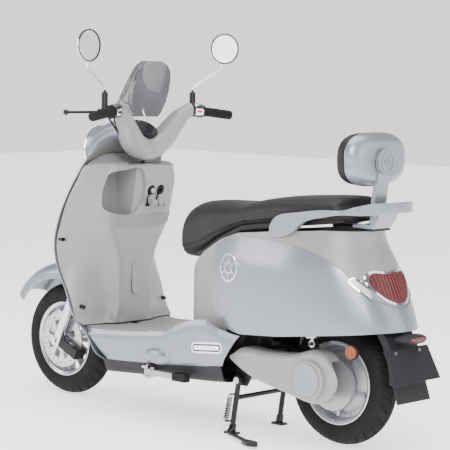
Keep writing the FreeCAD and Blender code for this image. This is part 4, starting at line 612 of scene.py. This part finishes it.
def shield_ribs():
    """Fine upright ribs under the glove pocket, from a dipped lower edge."""
    tree = tree_of("inner_leg_shield")
    verts, faces = [], []
    y = -168.0
    while y < 186:
        dip = (y + 10) / 190
        column = []
        z = 634 + 42 * dip * dip
        while z < 697:
            hit = tree.ray_cast(Vector((100, y, z)), Vector((1, 0, 0)), 400)[0]
            if hit and hit.x < 380:
                column.append(hit)
            z += 4.0
        if len(column) > 3:
            rib(verts, faces, column, (0.4, 1.3), 0.7, 1.5, 0.1)
        y += 6.0
    obj = piece("shield_ribs", verts, faces, GREY, "root", sharp=30)
    fix_normals(obj)


shield_ribs()

# ------------------------------------------------------------------ crown of the leg shield
def shield_crown():
    """Moulded top of the leg shield, from its upper edge up to the apron, open round the steering stem."""
    half = [(297, 0), (297, 60), (299, 93), (303, 120), (315, 143), (335, 160), (362, 173), (395, 184),
            (416, 189)]
    front = [(421, 180), (428, 160), (431, 130), (434, 100), (436, 60), (437, 25), (437, 0)]
    ring = [(x, y, SHIELD_TOP) for x, y in half]
    ring += [(x, y, 868 + 34 * min(1.0, (189 - y) / 90)) for x, y in front]
    ring = ring + [(x, -y, z) for x, y, z in ring[-2:0:-1]]
    n = 160
    lengths = [0.0]
    for a, b in zip(ring, ring[1:] + ring[:1]):
        lengths.append(lengths[-1] + math.dist(a, b))
    loop = []
    for i in range(n):
        want = lengths[-1] * i / n
        k = max(j for j in range(len(ring)) if lengths[j] <= want)
        t = (want - lengths[k]) / (lengths[k + 1] - lengths[k])
        a, b = ring[k], ring[(k + 1) % len(ring)]
        loop.append(tuple(a[j] + (b[j] - a[j]) * t for j in range(3)))
    rows = []
    for v in [0, 0.012, 0.03, 0.06, 0.1, 0.16, 0.25, 0.38, 0.52, 0.68, 0.84, 0.95, 1.0]:
        row = []
        for x, y, z in loop:
            a = math.atan2(y, x - STEM_X)
            hx, hy = STEM_X + STEM_HOLE_R * math.cos(a), STEM_HOLE_R * math.sin(a)
            hump = 9 * math.sin(math.pi * min(v * 1.6, 1.0)) * (1 if z > 880 or abs(y) > 120 else 0.25)
            roll = 2.5 * math.sqrt(min(v / 0.06, 1.0))
            row.append((x + (hx - x) * v, y + (hy - y) * v, z + (871 - z) * v + hump + roll))
        rows.append(row)
    rows.append([(x, y, z - 14) for x, y, z in rows[-1]])
    verts, faces = grid(rows)
    obj = piece("shield_crown", verts, faces, GREY, "root", sharp=50)
    fix_normals(obj)
    solid = obj.modifiers.new("wall", "SOLIDIFY")
    solid.thickness = 0.0015
    solid.offset = -1


shield_crown()


def mirror_rim(name, centre, yaw, body):
    """Dark rubber rim round the glass."""
    n = Vector((-math.cos(math.radians(yaw)), math.sin(math.radians(yaw)), 0))
    u, w = Vector((0, 0, 1)).cross(n), Vector((0, 0, 1))
    rows = []
    for i in range(96):
        a = 2 * math.pi * i / 96
        out = u * math.cos(a) + w * math.sin(a)
        row = []
        for j in range(10):
            b = 2 * math.pi * j / 10
            row.append(Vector(centre) + out * (53.1 + 2.3 * math.cos(b)) + n * (0.1 + 1.9 * math.sin(b)))
        rows.append(row)
    verts, faces = grid(rows, close_u=True, close_v=True)
    fix_normals(piece(name, verts, faces, RUBBER, body))


mirror_rim("left_mirror_rim", (MIRROR_X, MIRROR_Y, MIRROR_Z), LEFT_MIRROR_YAW, "mirror_left")
mirror_rim("right_mirror_rim", (MIRROR_X, -MIRROR_Y, MIRROR_Z), RIGHT_MIRROR_YAW, "mirror_right")


def tail_ribs():
    """Vertical prisms moulded into the tail lens."""
    tree = tree_of("lamp_lenses")
    verts, faces = [], []
    y = -81.0
    while y < 84:
        column = []
        z = 490.0
        while z < 590:
            hit = tree.ray_cast(Vector((-1000, y, z)), Vector((1, 0, 0)), 400)[0]
            beside = [Vector((-1000, y + dy, z)) for dy in (-4.8, 4.8)]
            if hit and all(tree.ray_cast(p, Vector((1, 0, 0)), 400)[0] for p in beside):
                column.append(hit)
            z += 2.5
        if len(column) > 3:
            rib(verts, faces, column, (0.5, 4.6), 1.6, 2.4, 0.2)
        y += 13.5
    obj = piece("tail_lens_ribs", verts, faces, RED, "root", sharp=20)
    fix_normals(obj)


tail_ribs()

# ------------------------------------------------------------------ floor, light and camera
def stage_floor():
    """Wide pale floor that is a little bright of itself."""
    mesh = bpy.data.meshes.new("floor")
    s = 14.0
    mesh.from_pydata([(-s, -s, 0), (s, -s, 0), (s, s, 0), (-s, s, 0)], [], [(0, 1, 2, 3)])
    m = Mat("floor_pale", (0.97, 0.97, 0.975), 0.6)
    m.vary_rough(2.0, 0.55, 0.68).bump(m.noise(30.0, 2.0), 0.0001, 0.1)
    m.bsdf.inputs["Emission Color"].default_value = (1, 1, 1, 1)
    m.bsdf.inputs["Emission Strength"].default_value = 1.15
    mesh.materials.append(m.mat)
    obj = bpy.data.objects.new("floor", mesh)
    bpy.context.collection.objects.link(obj)
    obj.location.z = -0.0006


def area_light(name, place, target, size, power_w, color=(1, 1, 1)):
    light = bpy.data.lights.new(name, "AREA")
    light.energy = power_w
    light.size = size
    light.color = color
    obj = bpy.data.objects.new(name, light)
    obj.location = place
    obj.rotation_euler = (Vector(target) - Vector(place)).to_track_quat("-Z", "Y").to_euler()
    bpy.context.collection.objects.link(obj)


def lights():
    """Soft studio boxes and a banded white surround."""
    area_light("key", (-3.2, 3.6, 3.6), (0, 0, 0.6), 3.0, 330)
    area_light("fill", (-4.5, -1.5, 2.2), (0, 0, 0.6), 3.0, 60)
    area_light("front", (3.5, 3.5, 2.4), (0.1, 0, 0.6), 2.6, 110)
    area_light("top", (0, 0, 4.6), (0, 0, 0), 4.0, 170)
    world = bpy.data.worlds.new("studio")
    world.use_nodes = True
    tree = world.node_tree
    coord = tree.nodes.new("ShaderNodeTexCoord")
    split = tree.nodes.new("ShaderNodeSeparateXYZ")
    height = tree.nodes.new("ShaderNodeMapRange")
    height.inputs["From Min"].default_value = -1.0
    bands = tree.nodes.new("ShaderNodeValToRGB")
    tree.links.new(coord.outputs["Generated"], split.inputs["Vector"])
    tree.links.new(split.outputs["Z"], height.inputs["Value"])
    tree.links.new(height.outputs["Result"], bands.inputs["Fac"])
    # white round the horizon and overhead, a darker band between them that bright metal reflects
    stops = ((0.0, 0.7), (0.40, 1.0), (0.60, 1.0), (0.68, 0.22), (0.86, 0.22), (0.93, 1.0))
    ramp = bands.color_ramp
    while len(ramp.elements) < len(stops):
        ramp.elements.new(0.5)
    for element, (position, value) in zip(ramp.elements, stops):
        element.position = position
        element.color = (value, value, value, 1)
    tree.links.new(bands.outputs["Color"], tree.nodes["Background"].inputs["Color"])
    tree.nodes["Background"].inputs["Strength"].default_value = 1.45
    bpy.context.scene.world = world


def camera():
    """The camera behind the left side, low over the floor."""
    yaw, pitch, roll = -0.8274, 0.0883, 0.0202
    d = Vector((math.cos(yaw) * math.cos(pitch), math.sin(yaw) * math.cos(pitch), -math.sin(pitch)))
    r = Vector((math.sin(yaw), -math.cos(yaw), 0)).normalized()
    u = r.cross(d)
    right = r * math.cos(roll) + u * math.sin(roll)
    up = u * math.cos(roll) - r * math.sin(roll)
    cam = bpy.data.cameras.new("camera")
    cam.sensor_width = 36
    cam.lens = 147.6512
    cam.clip_end = 60
    obj = bpy.data.objects.new("camera", cam)
    obj.matrix_world = Matrix(((right.x, up.x, -d.x, -4.3322), (right.y, up.y, -d.y, 4.6294),
                               (right.z, up.z, -d.z, 1.2393), (0, 0, 0, 1)))
    bpy.context.collection.objects.link(obj)
    bpy.context.scene.camera = obj


ROUNDED = ("grab_rail", "backrest_frame", "number_plate", "front_fender", "switchgear", "left_brake_lever",
           "right_brake_lever", "left_footpeg", "right_footpeg", "lock_cluster", "rear_fender")
for name in ROUNDED:
    refine(name)

stage_floor()
lights()
camera()
bpy.context.view_layer.update()
